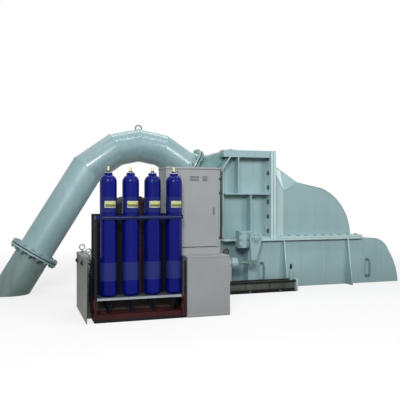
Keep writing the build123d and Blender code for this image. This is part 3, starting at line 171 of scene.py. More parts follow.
@dataclass(frozen=True)
class Enamel:
    """A machine enamel, brushed or sprayed, that has stood in a workshop for a while.

    The eye sees a broad cloudiness where coats overlap, faint runs down upright faces, a fine
    orange-peel skin in the gloss, and floor dust that darkens the lowest part.
    """

    name: str
    base: str
    pale: str
    deep: str
    dust: str
    patch_mm: float = 650.0
    run_mm: float = 70.0
    peel_mm: float = 5.0
    cloud: float = 0.5
    runs: float = 0.25
    dust_top_m: float = 0.35
    dust_share: float = 0.35
    gloss: tuple[float, float] = (0.34, 0.5)
    specular: float = 0.5
    coat: float = 0.0
    peel: float = 0.05

    def colour(self, tree: Tree, place: Socket) -> Socket:
        """Mix the coat's colours: clouds, runs and dust near the floor.

        Args:
            tree: the material's node tree.
            place: object coordinates in metres.

        Returns:
            The colour socket.
        """
        clouds = noise(tree, place, 1000 / self.patch_mm, 5.0, 0.6)
        tone = blend(tree, spread(tree, clouds, (0.35, 0.68), (0, self.cloud)), self.base, self.pale)
        across = 1000 / self.run_mm
        drawn = add_node(tree, "Mapping", {"Vector": place, "Scale": (across, across, 0.9)}).outputs[0]
        streaks = noise(tree, drawn, 1.0, 3.0, 0.55)
        tone = blend(tree, spread(tree, streaks, (0.5, 0.75), (0, self.runs)), tone, self.deep)
        height = add_node(tree, "SeparateXYZ", {0: place}).outputs["Z"]
        low = spread(tree, height, (self.dust_top_m, 0), (0, self.dust_share))
        dusty = maths(tree, "MULTIPLY", maths(tree, "MULTIPLY", low, clouds), 2.0)
        return blend(tree, dusty, tone, self.dust)

    def make(self) -> bpy.types.Material:
        """Build the material.

        Returns:
            The finished material.
        """
        material, tree, place = new_material(self.name)
        sheen = noise(tree, place, 1000 / (self.patch_mm / 3), 4.0)
        skin = noise(tree, place, 1000 / self.peel_mm, 1.0)
        show(tree, {
            "Base Color": self.colour(tree, place),
            "Roughness": spread(tree, sheen, (0.3, 0.7), self.gloss),
            "Normal": relief(tree, skin, self.peel, 0.002),
            "Specular IOR Level": self.specular,
            "Coat Weight": self.coat,
            "Coat Roughness": 0.12,
        })
        return material


@dataclass(frozen=True)
class Band:
    """A zone of another colour across a piece, between two places on an axis, in metres."""

    low: float
    high: float
    colour: str
    share: float = 1.0
    axis: str = "Z"


@dataclass(frozen=True)
class BandedEnamel(Enamel):
    """An enamel with zones of another colour, each with a crisp edge."""

    bands: tuple[Band, ...] = ()

    def colour(self, tree: Tree, place: Socket) -> Socket:
        """Lay the zones over the coat's own colours.

        Args:
            tree: the material's node tree.
            place: object coordinates in metres.

        Returns:
            The colour socket.
        """
        tone = super().colour(tree, place)
        split = add_node(tree, "SeparateXYZ", {0: place})
        for band in self.bands:
            along = split.outputs[band.axis]
            above = maths(tree, "GREATER_THAN", along, band.low)
            below = maths(tree, "LESS_THAN", along, band.high)
            inside = maths(tree, "MULTIPLY", above, below)
            tone = blend(tree, maths(tree, "MULTIPLY", inside, band.share), tone, band.colour)
        return tone


@dataclass(frozen=True)
class BareMetal:
    """Turned, ground or cast metal without paint.

    The eye sees fine tool marks that stretch the highlights, and a dull film of oil and age.
    """

    name: str
    base: str
    film: str
    mark_mm: float = 2.0
    gloss: tuple[float, float] = (0.25, 0.42)

    def make(self) -> bpy.types.Material:
        """Build the material.

        Returns:
            The finished material.
        """
        material, tree, place = new_material(self.name)
        film = spread(tree, noise(tree, place, 24.0, 5.0), (0.4, 0.7), (0, 0.7))
        marks = noise(tree, place, 1000 / self.mark_mm, 2.0)
        show(tree, {
            "Base Color": blend(tree, film, self.base, self.film),
            "Metallic": 1.0,
            "Roughness": spread(tree, marks, (0.3, 0.7), self.gloss),
            "Normal": relief(tree, marks, 0.08, 0.001),
        })
        return material


@dataclass(frozen=True)
class Moulding:
    """Moulded plastic or rubber: one even colour with a fine grain that scatters the light."""

    name: str
    base: str
    worn: str
    grain_mm: float = 3.0
    roughness: float = 0.5
    specular: float = 0.45

    def make(self) -> bpy.types.Material:
        """Build the material.

        Returns:
            The finished material.
        """
        material, tree, place = new_material(self.name)
        wear = spread(tree, noise(tree, place, 14.0, 4.0), (0.45, 0.7), (0, 0.6))
        show(tree, {
            "Base Color": blend(tree, wear, self.base, self.worn),
            "Roughness": self.roughness,
            "Specular IOR Level": self.specular,
            "Normal": relief(tree, noise(tree, place, 1000 / self.grain_mm, 2.0), 0.15, 0.001),
        })
        return material


# Base, pale, deep and dusty tone that casing, hood and knob post share.
GREY_GREEN = ("#93B1B4", "#A6C3C5", "#7E9DA0", "#6C7C77")


class Finish(Enum):
    """Every finish on the set, each with what it is made of."""

    # Grey-green enamel brushed on welded plate, satin.
    CASING = Enamel(
        "casing_enamel", *GREY_GREEN, patch_mm=800, cloud=0.6,
        runs=0.3, gloss=(0.3, 0.46), coat=0.1, dust_top_m=0.4, dust_share=0.25,
    )
    # The same enamel sprayed on the rolled pipe: a glossier skin that shows the windows above.
    PIPE = Enamel(
        "pipe_enamel", "#86A4A8", "#9BB9BC", "#6F8D90", "#6C7C77", patch_mm=700,
        runs=0.3, gloss=(0.2, 0.34), coat=0.35, dust_top_m=0.6, dust_share=0.5,
    )
    # The lower leg and its flanges: the pipe's enamel, rubbed satin where slings reach it.
    LEG = Enamel(
        "leg_enamel", "#8FADB1", "#A3C1C4", "#789699", "#6C7C77", patch_mm=700,
        runs=0.3, gloss=(0.36, 0.5), dust_top_m=0.6, dust_share=0.5,
    )
    # The adapter between pipe and box, painted dark: painted shade that stands in for the shadow over the
    # adapter.
    PAINTED_SHADE = Enamel(
        "painted_shade_enamel", "#638886", "#759A97", "#456563", "#52605A", patch_mm=300,
        runs=0.4, gloss=(0.4, 0.55), dust_top_m=0.9, dust_share=0.3,
    )
    # The hood: casing enamel with a pale zone along its neck, beside the end flange: painted light that
    # brightens the neck's cheek, which the end flange shades.
    HOOD = BandedEnamel(
        "hood_enamel", *GREY_GREEN, patch_mm=800, cloud=0.55,
        runs=0.3, gloss=(0.3, 0.46), coat=0.1, dust_top_m=0.5, dust_share=0.45,
        # The pale zone is painted light on the shaded cheek.
        bands=(Band(1.10, 1.288, "#D0E3E3", 0.95, "X"),),
    )
    # Enamel gone dull and dark with dirt and splashed water, or under boots and spanners.
    GRIMY = Enamel(
        "grimy_enamel", "#87A3A2", "#97B1AE", "#5F7776", "#52605A", patch_mm=260, cloud=0.6,
        runs=0.6, gloss=(0.3, 0.5), dust_top_m=0.9, dust_share=0.6,
    )
    # Step bars, lifting lug and link rod: the same enamel in a dark tone; on the step bars and their sleeves
    # the dark tone is painted shade for their shaded sides.
    DARK_BAR = Enamel(
        "dark_bar_enamel", "#64807F", "#7D9897", "#3E5150", "#4A5550", patch_mm=80, cloud=0.6,
        runs=0.6, gloss=(0.3, 0.46), dust_top_m=0.3, dust_share=0.3,
    )
    # Pale enamel on the machined flanges, the gussets' edges and the floor frame's end; on the flanges and
    # the gussets' edges the pale tone is painted highlight where light catches them.
    PALE = Enamel(
        "pale_enamel", "#BAD4D5", "#CDE1E1", "#99B6B8", "#7C8C87", patch_mm=500,
        runs=0.2, gloss=(0.3, 0.44), coat=0.1, dust_top_m=0.3, dust_share=0.3,
    )
    # The same enamel on bolt heads, nearly black: painted shade that stands in for the shade round the heads.
    FASTENER = Enamel(
        "fastener_enamel", "#4A6266", "#627E82", "#283436", "#303A38", patch_mm=90,
        runs=0.5, gloss=(0.32, 0.5), dust_share=0.2,
    )
    # Weld beads under the casing's coat: slightly paler where the paint pools on the ripples.
    WELD = Enamel(
        "weld_enamel", "#94B2B5", "#A8C5C6", "#809EA1", "#6C7C77", patch_mm=60, runs=0.2,
        peel_mm=9, peel=0.5, dust_share=0.3,
    )
    # Powder coat on thin sheet: even, light grey, with a fine pebbled skin.
    CABINET = Enamel(
        "cabinet_coat", "#95989A", "#A3A5A7", "#86898C", "#74756F", patch_mm=500, cloud=0.45,
        runs=0.12, peel_mm=3, peel=0.12, gloss=(0.42, 0.52), dust_top_m=0.25, dust_share=0.3,
    )
    # Brushed enamel on the oil tank: warmer grey, stained by oil and floor dirt.
    TANK = Enamel(
        "tank_enamel", "#71756F", "#83867F", "#575B54", "#46473F", patch_mm=350, cloud=0.55,
        runs=0.45, gloss=(0.36, 0.5), dust_top_m=0.5, dust_share=0.5,
    )
    # Deep blue gloss on the bottles, with two paler zones where film was wrapped round them.
    BOTTLE = BandedEnamel(
        "bottle_enamel", "#061068", "#0A1786", "#04093A", "#0A0F3A", patch_mm=420, cloud=0.45,
        runs=0.35, gloss=(0.2, 0.32), specular=0.14, dust_share=0.1, peel=0.0,
        bands=(Band(0.518, 0.750, "#2C3674", 0.75), Band(1.395, 1.589, "#252E68", 0.7)),
    )
    # Rack steel: red primer left bare low down, black top coat on the uprights and under the beam.
    RACK = BandedEnamel(
        "rack_primer", "#2C0F11", "#481718", "#180809", "#120B0A", patch_mm=190, cloud=0.7, runs=0.6,
        gloss=(0.5, 0.66), specular=0.2, dust_top_m=0.06, dust_share=0.8,
        bands=(Band(0.300, 3.0, "#0B0C10"), Band(-0.1, 0.040, "#0E0D0E")),
    )
    # Red primer browned by oil on the middle post and the bent brackets.
    POST = Enamel(
        "oiled_primer", "#3A1719", "#5A1E20", "#1C0D0E", "#1C100F", patch_mm=120, cloud=0.6, runs=0.5,
        gloss=(0.44, 0.6), specular=0.2, dust_share=0.2,
    )
    # Black enamel on the ports, collars and hand valve, with a blue cast.
    BLACK = Enamel(
        "rack_black", "#0A0D18", "#12182C", "#06070C", "#121110", patch_mm=200, runs=0.4,
        gloss=(0.38, 0.56), specular=0.15, dust_share=0.3,
    )
    # Black sheet behind the bottles; bare and dusty grey-brown below the shelf.
    PANEL = BandedEnamel(
        "panel_black", "#0B0E16", "#101826", "#06080C", "#1C1A18", patch_mm=300, runs=0.4,
        gloss=(0.45, 0.62), specular=0.15, dust_share=0.2, bands=(Band(-0.1, 0.285, "#6E685F", 0.9),),
    )
    # Navy enamel on the clamp band, and a dull pale line along its raised middle.
    CLAMP = Enamel(
        "clamp_navy", "#101A4E", "#18235E", "#0A0F2C", "#0A0F2C", patch_mm=200, runs=0.3,
        gloss=(0.36, 0.5), specular=0.15, dust_share=0.0,
    )
    BAND_LINE = Enamel(
        "band_line", "#5C6389", "#757CA0", "#2C3257", "#2C3257", patch_mm=60, cloud=0.6, runs=0.5,
        gloss=(0.3, 0.5), specular=0.3, dust_share=0.0,
    )
    # Grey-white enamel on the shelf's edge; its top is dark with oil and the bottles' scuffs.
    SHELF = BandedEnamel(
        "shelf_enamel", "#979EA6", "#AAB0B6", "#737A83", "#8F938F", patch_mm=120, runs=0.3,
        gloss=(0.36, 0.5), dust_share=0.0, bands=(Band(0.3092, 0.4, "#2A2F3C", 0.85),),
    )
    # Rolled channel of the floor frame: worn grey-brown web between black lips; the lips' black is painted
    # shade for their dark edges and the shadows they cast.
    FRAME = BandedEnamel(
        "frame_enamel", "#474D49", "#666B62", "#20231F", "#191917", patch_mm=300, cloud=0.9, runs=0.8,
        gloss=(0.4, 0.62), specular=0.25, dust_top_m=0.12, dust_share=0.5,
        # Black lips: painted shade.
        bands=(Band(-0.1, 0.046, "#08090A", 0.97), Band(0.156, 0.3, "#0C0E0E", 0.94)),
    )
    # Motor enamel, dark grey, sprayed over cast ribs.
    MOTOR = Enamel(
        "motor_enamel", "#34393D", "#42484C", "#23272A", "#2C2A27", patch_mm=140, runs=0.3,
        gloss=(0.38, 0.52), dust_share=0.1,
    )
    # Post of the control knob: casing enamel below, black moulded knob above.
    KNOB = BandedEnamel(
        "knob_enamel", *GREY_GREEN, patch_mm=120, cloud=0.4,
        gloss=(0.3, 0.4), bands=(Band(0.380, 1.0, "#0E1012"),),
    )
    # Turned brass, dulled to a soft cream yellow by handling.
    BRASS = BareMetal("turned_brass", "#DCD6B4", "#A39B70", gloss=(0.28, 0.42))
    # Turned and ground steel with a dark film of oil.
    STEEL = BareMetal("ground_steel", "#7C8284", "#3C4244", gloss=(0.2, 0.38))
    # Zinc-plated small parts: pale and slightly cloudy.
    ZINC = BareMetal("zinc_plate", "#A8ACAA", "#7C807E", gloss=(0.34, 0.48))
    # Nitrile or fibre gasket: matt black line between two flanges.
    GASKET = Moulding("gasket_fibre", "#14181A", "#23282A", roughness=0.8, specular=0.2)
    # Moulded phenolic for cases and catches.
    CASE = Moulding("moulded_case", "#0F1113", "#1D2022", roughness=0.38)
    # Grey moulded plastic of the door handle.
    GRIP = Moulding("grey_grip", "#7C8082", "#8C8F90", roughness=0.46)
    # Opal plastic of the sight tube: matt white.
    DIAL = Moulding("dial_card", "#E6E8E6", "#DADCD8", roughness=0.6, specular=0.3)
    # The gauge's printed card, greyed by oil mist.
    GAUGE_CARD = Moulding("gauge_card", "#5E6E70", "#6C7C7D", roughness=0.6, specular=0.3)
    # Anodised label plate, left bare: pale frame.
    RIM = Moulding("label_rim", "#C9CEC4", "#AEB4AA", roughness=0.42)
    # Label foil: pale yellow-green above, dark olive in the lower half.
    FOIL = BandedEnamel(
        "label_foil", "#C3C774", "#D0D48A", "#A5A858", "#A5A858", patch_mm=40, cloud=0.4, runs=0.1,
        gloss=(0.3, 0.42), dust_share=0.0, bands=(Band(0.0, 1.494, "#4E5430", 0.9),),
    )


class Paintshop:
    """Keeps one Blender material for each finish."""

    def __init__(self) -> None:
        """Start with no material made."""
        self.made: dict[Finish, bpy.types.Material] = {}

    def coat(self, piece: Piece, finish: Finish) -> None:
        """Give a piece its finish.

        Args:
            piece: a CAD node or a new piece.
            finish: the finish all over it.
        """
        if finish not in self.made:
            self.made[finish] = finish.value.make()
        piece.data.materials.clear()
        piece.data.materials.append(self.made[finish])


PAINT = Paintshop()


# ---- modelling ----


def lone(piece: Piece | None = None) -> None:
    """Deselect everything, then make one piece the only selected and active one.

    Args:
        piece: the piece to work on, or None.
    """
    active = bpy.context.view_layer.objects.active
    if active is not None and active.mode != "OBJECT":
        bpy.ops.object.mode_set(mode="OBJECT")
    bpy.ops.object.select_all(action="DESELECT")
    if piece is not None:
        piece.select_set(True)
        bpy.context.view_layer.objects.active = piece


def settle(piece: Piece) -> Piece:
    """Put a piece's place, turn and scale into its mesh.

    Args:
        piece: a mesh object.

    Returns:
        The same piece.
    """
    lone(piece)
    bpy.ops.object.transform_apply(location=True, rotation=True, scale=True)
    return piece


def fresh(name: str, scale: Point = (1, 1, 1)) -> Piece:
    """Name and settle the primitive that was just added.

    Args:
        name: the piece's name.
        scale: what to stretch the primitive by.

    Returns:
        The piece.
    """
    piece = bpy.context.object
    piece.name = name
    piece.scale = [old * new for old, new in zip(piece.scale, scale)]
    return settle(piece)


@contextmanager
def shaping(piece: Piece, wanted: Callable | None = None, kind: str = "FACE") -> Iterator[None]:
    """Work in edit mode on a selection, and go back to object mode afterwards.

    Args:
        piece: the mesh object.
        wanted: test on one polygon or vertex, or None for all.
        kind: FACE or VERT, what the test looks at.

    Yields:
        Nothing; the selection is ready.
    """
    lone(piece)
    bpy.ops.object.mode_set(mode="EDIT")
    if wanted is None:
        bpy.ops.mesh.select_all(action="SELECT")
    else:
        bpy.ops.mesh.select_mode(type=kind)
        bpy.ops.mesh.select_all(action="DESELECT")
        bpy.ops.object.mode_set(mode="OBJECT")
        for item in piece.data.polygons if kind == "FACE" else piece.data.vertices:
            item.select = wanted(item)
        bpy.ops.object.mode_set(mode="EDIT")
    yield
    bpy.ops.object.mode_set(mode="OBJECT")


def thickened(piece: Piece, thickness: float) -> Piece:
    """Give a sheet its thickness, half to each side.

    Args:
        piece: an open mesh.
        thickness: of the sheet.

    Returns:
        The same piece.
    """
    lone(piece)
    modifier = piece.modifiers.new("thickness", "SOLIDIFY")
    modifier.thickness = thickness
    modifier.offset = 0
    bpy.ops.object.modifier_apply(modifier=modifier.name)
    return piece


def turn_to(axis: Point) -> tuple[float, float, float]:
    """Rotation that turns local Z to an axis."""
    return tuple(Vector(axis).to_track_quat("Z", "Y").to_euler())


def stand_at(place: Point, axis: Point = (0, 0, 1)) -> Matrix:
    """Matrix that puts a master made along +Z at a place, pointing along an axis."""
    return Matrix.Translation(Vector(place)) @ Vector(axis).to_track_quat("Z", "Y").to_matrix().to_4x4()


def round_places(count: int, radius: float, start: float = 0.5) -> list[tuple[float, float]]:
    """Even places round a circle, the first so many steps past the first axis."""
    angles = [2 * math.pi * (number + start) / count for number in range(count)]
    return [(radius * math.cos(angle), radius * math.sin(angle)) for angle in angles]


def bar(
    name: str, start: Point, end: Point, radius: float, sides: int = 20, chamfer: float = 0.0008
) -> Piece:
    """A round or many-sided bar between two points, its ends chamfered.

    Args:
        name: the piece's name.
        start: centre of one end.
        end: centre of the other end.
        radius: to the corners.
        sides: number of sides.
        chamfer: size of the edge break at both ends.

    Returns:
        The bar.
    """
    a, b = Vector(start), Vector(end)
    way = (b - a).normalized()
    lone()
    bpy.ops.mesh.primitive_cylinder_add(
        vertices=sides, radius=radius, depth=(b - a).length, location=(a + b) / 2, rotation=turn_to(way)
    )
    piece = fresh(name)
    with shaping(piece, lambda face: abs(face.normal.dot(way)) > 0.99):
        bpy.ops.mesh.bevel(offset=chamfer, segments=1, affect="EDGES")
    return piece


def ring(name: str, centre: Point, axis: Point, radius: float, thick: float, steps: int = 64) -> Piece:
    """A round ring: its section stands at the rim and is spun once round the axis.

    Args:
        name: the piece's name.
        centre: the ring's centre.
        axis: its axis.
        radius: to the middle of the section.
        thick: radius of the section.
        steps: segments round the ring.

    Returns:
        The ring.
    """
    middle, way = Vector(centre), Vector(axis).normalized()
    out = way.orthogonal().normalized()
    lone()
    bpy.ops.mesh.primitive_circle_add(
        vertices=8, radius=thick, location=middle + out * radius, rotation=turn_to(way.cross(out))
    )
    piece = fresh(name)
    with shaping(piece):
        bpy.ops.mesh.spin(steps=steps, angle=2 * math.pi, center=tuple(middle), axis=tuple(way))
        bpy.ops.mesh.select_all(action="SELECT")
        bpy.ops.mesh.remove_doubles(threshold=thick * 0.05)
        bpy.ops.mesh.normals_make_consistent(inside=False)
    return piece


def block(name: str, low: Point, high: Point, edge: float) -> Piece:
    """A block with rounded edges between two corners.

    Args:
        name: the piece's name.
        low: lowest corner.
        high: highest corner.
        edge: width of the rounded edges.

    Returns:
        The block.
    """
    a, b = Vector(low), Vector(high)
    lone()
    bpy.ops.mesh.primitive_cube_add(size=1, location=(a + b) / 2, scale=tuple(b - a))
    piece = fresh(name)
    with shaping(piece):
        bpy.ops.mesh.bevel(offset=edge, segments=2)
    return piece


def thin_frame(name: str, middle: Point, size: Point, turn: Point, border: float, nose: float = 0.0) -> Piece:
    """A flat rectangular frame 4 mm thick, as a line between two flanges.

    Args:
        name: the piece's name.
        middle: its centre.
        size: its two sides, before the turn.
        turn: Euler angles of its plane.
        border: width of the frame.
        nose: how much its two +X corners are rounded.

    Returns:
        The frame.
    """
    lone()
    bpy.ops.mesh.primitive_plane_add(size=1, location=middle, rotation=turn)
    piece = fresh(name, (*size, 1))
    if nose > 0:
        with shaping(piece, lambda vertex: vertex.co.x > middle[0], "VERT"):
            bpy.ops.mesh.bevel(offset=nose, segments=8, affect="VERTICES")
    with shaping(piece, lambda face: True):
        bpy.ops.mesh.inset(thickness=border, depth=0)
        bpy.ops.mesh.delete(type="FACE")
    return thickened(piece, 0.004)


def run_of_pipe(name: str, points: Sequence[Point], radius: float, bend: float) -> Piece:
    """A bent tube of rigid pipe with rounded corners.

    Args:
        name: the piece's name.
        points: the corners of its centre line.
        radius: outer radius of the tube.
        bend: radius of the corners.

    Returns:
        The tube.
    """
    lone()
    bpy.ops.curve.primitive_bezier_curve_add(location=(0, 0, 0))
    piece = bpy.context.object
    piece.name = name
    curve = piece.data
    curve.splines.clear()
    corners = [Vector(point) for point in points]
    knots = [(corners[0],) * 3]
    for last, corner, following in zip(corners, corners[1:], corners[2:]):
        reach = min(bend, (last - corner).length / 2, (following - corner).length / 2)
        before = (last - corner).normalized() * reach
        after = (following - corner).normalized() * reach
        knots.append((corner + before, corner + before, corner + before * 0.45))
        knots.append((corner + after, corner + after * 0.45, corner + after))
    knots.append((corners[-1],) * 3)
    spline = curve.splines.new("BEZIER")
    spline.bezier_points.add(len(knots) - 1)
    for knot, (place, left, right) in zip(spline.bezier_points, knots):
        knot.handle_left_type = knot.handle_right_type = "FREE"
        knot.co, knot.handle_left, knot.handle_right = place, left, right
    curve.dimensions = "3D"
    curve.bevel_depth = radius
    curve.bevel_resolution = 3
    curve.resolution_u = 6
    curve.use_fill_caps = True
    bpy.ops.object.convert(target="MESH")
    return settle(bpy.context.object)


def joined(name: str, pieces: Sequence[Piece]) -> Piece:
    """Join settled pieces into one.

    Args:
        name: the new piece's name.
        pieces: what goes into it.

    Returns:
        The joined piece.
    """
    lone(pieces[0])
    for piece in pieces:
        piece.select_set(True)
    if len(pieces) > 1:
        bpy.ops.object.join()
    whole = bpy.context.object
    whole.name = name
    whole.data.name = name
    return whole


def repeated(name: str, master: Piece, places: Sequence[Matrix]) -> Piece:
    """Copy a master to each place, each copy with its own mesh, and join the copies.

    Args:
        name: the new piece's name.
        master: modelled once at the origin, along +Z; it is removed.
        places: one matrix for each copy.

    Returns:
        The joined copies.
    """
    copies = []
    for place in places:
        copy = master.copy()
        copy.data = master.data.copy()
        copy.matrix_world = place @ master.matrix_world
        bpy.context.scene.collection.objects.link(copy)
        copies.append(settle(copy))
    bpy.data.objects.remove(master)
    return joined(name, copies)


def fitted(piece: Piece, finish: Finish, body: Body = Body.PLANT, angle: float = 35.0) -> None:
    """Smooth, paint and hang a finished piece on its body.

    Args:
        piece: a mesh with its place in its mesh.
        finish: the finish all over it.
        body: what it rides on.
        angle: faces that meet at less than this are shaded smooth.
    """
    lone(piece)
    bpy.ops.object.shade_smooth_by_angle(angle=math.radians(angle))
    PAINT.coat(piece, finish)
    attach(piece, body.value)
    LOG.info("%s on %s, %d faces", piece.name, body.value, len(piece.data.polygons))


def bolted(
    name: str, spots: Sequence[Matrix], size: float, height: float, washer: float = 0.004, stud: float = 0.0,
    finish: Finish = Finish.FASTENER, body: Body = Body.PLANT,
) -> None:
    """Set a hexagon head on its washer on each spot, and fit them as one piece.

    Args:
        name: the piece's name.
        spots: one matrix for each head.
        size: width across the flats.
        height: of the head.
        washer: thickness of the washer.
        stud: how far a threaded end stands out of the head.
        finish: the finish all over them.
        body: what they ride on.
    """
    top = washer + height
    parts = [
        bar("head", (0, 0, washer * 0.5), (0, 0, top), size / math.sqrt(3), 6, size * 0.08),
        bar("washer", (0, 0, 0), (0, 0, washer), size * 0.98, 20, washer * 0.3),
    ]
    if stud > 0:
        parts.append(bar("stud", (0, 0, top - 0.002), (0, 0, top + stud), size * 0.3, 12, size * 0.06))
    fitted(repeated(name, joined("bolt_master", parts), spots), finish, body)


def dress(finish: Finish, *nodes: str) -> None:
    """Give CAD nodes their finish.

    Args:
        finish: the finish all over them.
        nodes: names of nodes.
    """
    for name in nodes:
        PAINT.coat(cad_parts[name], finish)
        LOG.info("dressed %s", name)


def spoke(degrees: float) -> Vector:
    """Direction in the set's upright plane, so many degrees above +X."""
    return Vector((math.cos(math.radians(degrees)), 0, math.sin(math.radians(degrees))))


# ---- the set ----


@dataclass
class InletBend:
    """The mitred inlet pipe: seams, flange bolts and gaskets."""

    radius: float = 0.285
    foot_x: float = -3.368
    rise: float = 58.5
    turn: float = 23.0
    stub: float = 0.786
    legs: tuple[float, ...] = (1.650, 0.600, 0.420, 0.420, 0.600)
    flange_radius: float = 0.410
    flange_thick: float = 0.040
    bolt_circle: float = 0.3725
    bolts: int = 16
    bolt_size: float = 0.050
    adapter_reach: float = 0.381
    seam: float = 0.025

    def way(self, number: int) -> Vector:
        """Direction of one leg of the pipe."""
        return spoke(self.rise - self.turn * number)

    def joint(self) -> Vector:
        """Middle of the lower flange pair."""
        return Vector((self.foot_x, SET_Y, 0)) + self.way(0) * self.stub

    def corners(self) -> list[Vector]:
        """Find the corners of the centre line.

        Returns:
            The four mitre corners, then the outlet.
        """
        place = self.joint()
        found = []
        for number, length in enumerate(self.legs):
            place = place + self.way(number) * length
            found.append(place)
        return found

    def seams(self) -> None:
        """Weld beads round the four mitres, and a fillet where the pipe meets each flange."""
        beads = []
        for number, corner in enumerate(self.corners()[:4]):
            way = (self.way(number) + self.way(number + 1)).normalized()
            bead = ring("bead", (0, 0, 0), (0, 0, 1), self.radius, 0.0045, 96)
            bead.scale = (1 / math.cos(math.radians(self.turn / 2)), 1, 1)
            settle(bead)
            turned = Matrix(((way.z, 0, way.x), (0, 1, 0), (-way.x, 0, way.z)))
            bead.matrix_world = Matrix.Translation(corner) @ turned.to_4x4()
            beads.append(settle(bead))
        lower, upper = self.way(0), self.way(4)
        for place, way in (
            (self.joint() - lower * self.flange_thick, lower),
            (self.joint() + lower * self.flange_thick, lower),
            (self.corners()[-1] - upper * self.flange_thick, upper),
        ):
            beads.append(ring("fillet", place, way, self.radius, 0.011, 72))
        fitted(joined("bend_welds", beads), Finish.WELD, angle=ROUND)

    def flanges(self) -> None:
        """Bolts through both flange pairs, with a gasket between the faces."""
        heads, nuts, gaskets = [], [], []
        for place, way in ((self.joint(), self.way(0)), (self.corners()[-1], self.way(4))):
            up = Vector((-way.z, 0, way.x))
            for across, along in round_places(self.bolts, self.bolt_circle):
                spot = place + Vector((0, across, 0)) + up * along
                heads.append(stand_at(spot + way * self.flange_thick, way))
                nuts.append(stand_at(spot - way * self.flange_thick, -way))
            gasket = bar("gasket", place - way * 0.008, place + way * 0.008, self.flange_radius + 0.0015, 96)
            with shaping(gasket, lambda face: len(face.vertices) > 4):
                bpy.ops.mesh.inset(thickness=0.05, depth=0)
                bpy.ops.mesh.delete(type="FACE")
            gaskets.append(gasket)
        bolted("bend_flange_bolts", heads, self.bolt_size, 0.020, finish=Finish.GRIMY)
        bolted("bend_flange_nuts", nuts, self.bolt_size, 0.026, stud=0.014, finish=Finish.GRIMY)
        fitted(joined("bend_gaskets", gaskets), Finish.GASKET)

    def build(self) -> None:
        """Model and dress the whole bend."""
        dress(Finish.GRIMY, "penstock_stub")
        dress(Finish.LEG, "stub_flange", "bend_lower_flange", "bend_lower_leg")
        dress(Finish.PIPE, "bend_mitre_1", "bend_mitre_2", "bend_mitre_3")
        dress(Finish.PIPE, "bend_outlet_leg", "bend_outlet_flange")
        # The adapter's dark enamel is painted shade.
        dress(Finish.PAINTED_SHADE, "inlet_adapter")
        dress(Finish.DARK_BAR, "bend_lifting_lug")
        self.seams()
        self.flanges()


@dataclass
class GuideBox:
    """The ribbed guide box: flange bolts, gasket line and rib welds."""

    left: float = 0.170
    right: float = 1.040
    top: float = 2.420
    flange: float = 0.050
    rows: int = 6
    bolt_size: float = 0.046
    rib: float = 0.022
    # Foot of the upright welds, top of the tall ones and of the one at the mouth; the ribs' lower
    # or left faces.
    weld_low: float = 0.905
    weld_high: float = 2.300
    mouth_weld_high: float = 1.900
    level_rib: float = 1.646
    upper_rib: float = 0.430
    lower_rib: float = 0.664

    def end_bolts(self) -> None:
        """Bolts of the upright flange pair towards the hood."""
        heads, nuts = [], []
        pitch = (self.top - SPLIT_Z) / self.rows
        for side in (-1, 1):
            y = SET_Y + side * (CASING_HALF + BOX_HALF) / 2
            for row in range(self.rows):
                z = SPLIT_Z + (row + 0.5) * pitch
                heads.append(stand_at((self.right, y, z), (-1, 0, 0)))
                nuts.append(stand_at((self.right + 2 * self.flange, y, z), (1, 0, 0)))
        bolted("box_flange_bolts", heads, self.bolt_size, 0.022)
        bolted("box_flange_nuts", nuts, self.bolt_size, 0.024, stud=0.012)

    def mouth_bolts(self, bend: InletBend) -> None:
        """Bolts of the slanted flange pair towards the pipe.

        Args:
            bend: the pipe, which gives the slant.
        """
        way = bend.way(4)
        up = Vector((-way.z, 0, way.x))
        middle = bend.corners()[-1] + way * (bend.adapter_reach - bend.seam)
        half_height = (self.top - (middle + way * bend.seam).z) / up.z
        heads, nuts = [], []
        for side in (-1, 1):
            for row in (-2, -1, 0, 1, 2):
                spot = middle + up * (row * half_height * 0.34) + Vector((0, side * (BOX_HALF + 0.055), 0))
                heads.append(stand_at(spot - way * bend.seam, -way))
                nuts.append(stand_at(spot + way * bend.seam, way))
        bolted("mouth_bolts", heads, self.bolt_size, 0.022)
        bolted("mouth_nuts", nuts, self.bolt_size, 0.024, stud=0.012)

    def gasket(self) -> None:
        """The dark line where the two upright flanges meet."""
        middle = (self.right + self.flange, SET_Y, (SPLIT_Z + self.top) / 2)
        size = (self.top - SPLIT_Z + 0.002, 2 * CASING_HALF + 0.003)
        line = thin_frame("box_gasket", middle, size, (0, math.pi / 2, 0), 0.060)
        fitted(line, Finish.GASKET)

    def welds(self) -> None:
        """Fillets where the ribs meet the side plates, on both sides."""
        beads = []
        inner, over = self.left + self.rib, self.level_rib + self.rib
        lines = [(inner, z, self.right, z) for z in (self.level_rib, over)]
        lines += [(x, over, x, self.weld_high) for x in (self.upper_rib, self.upper_rib + self.rib)]
        lines += [(x, self.weld_low, x, self.level_rib) for x in (self.lower_rib, self.lower_rib + self.rib)]
        lines.append((inner, self.weld_low, inner, self.mouth_weld_high))
        lines.append((self.right, self.weld_low, self.right, self.weld_high))
        for side in (-1, 1):
            face = SET_Y + side * BOX_HALF
            for x0, z0, x1, z1 in lines:
                beads.append(bar("bead", (x0, face, z0), (x1, face, z1), 0.008, 8))
        fitted(joined("box_welds", beads), Finish.WELD, angle=ROUND)

    def build(self, bend: InletBend) -> None:
        """Model and dress the whole box.

        Args:
            bend: the pipe that it is bolted to.
        """
        dress(Finish.CASING, "box_mouth_flange", "guide_box", "box_front_ribs", "box_rear_ribs")
        # The end flange's pale enamel is painted highlight.
        dress(Finish.PALE, "box_end_flange")
        self.end_bolts()
        self.mouth_bolts(bend)
        self.gasket()
        self.welds()


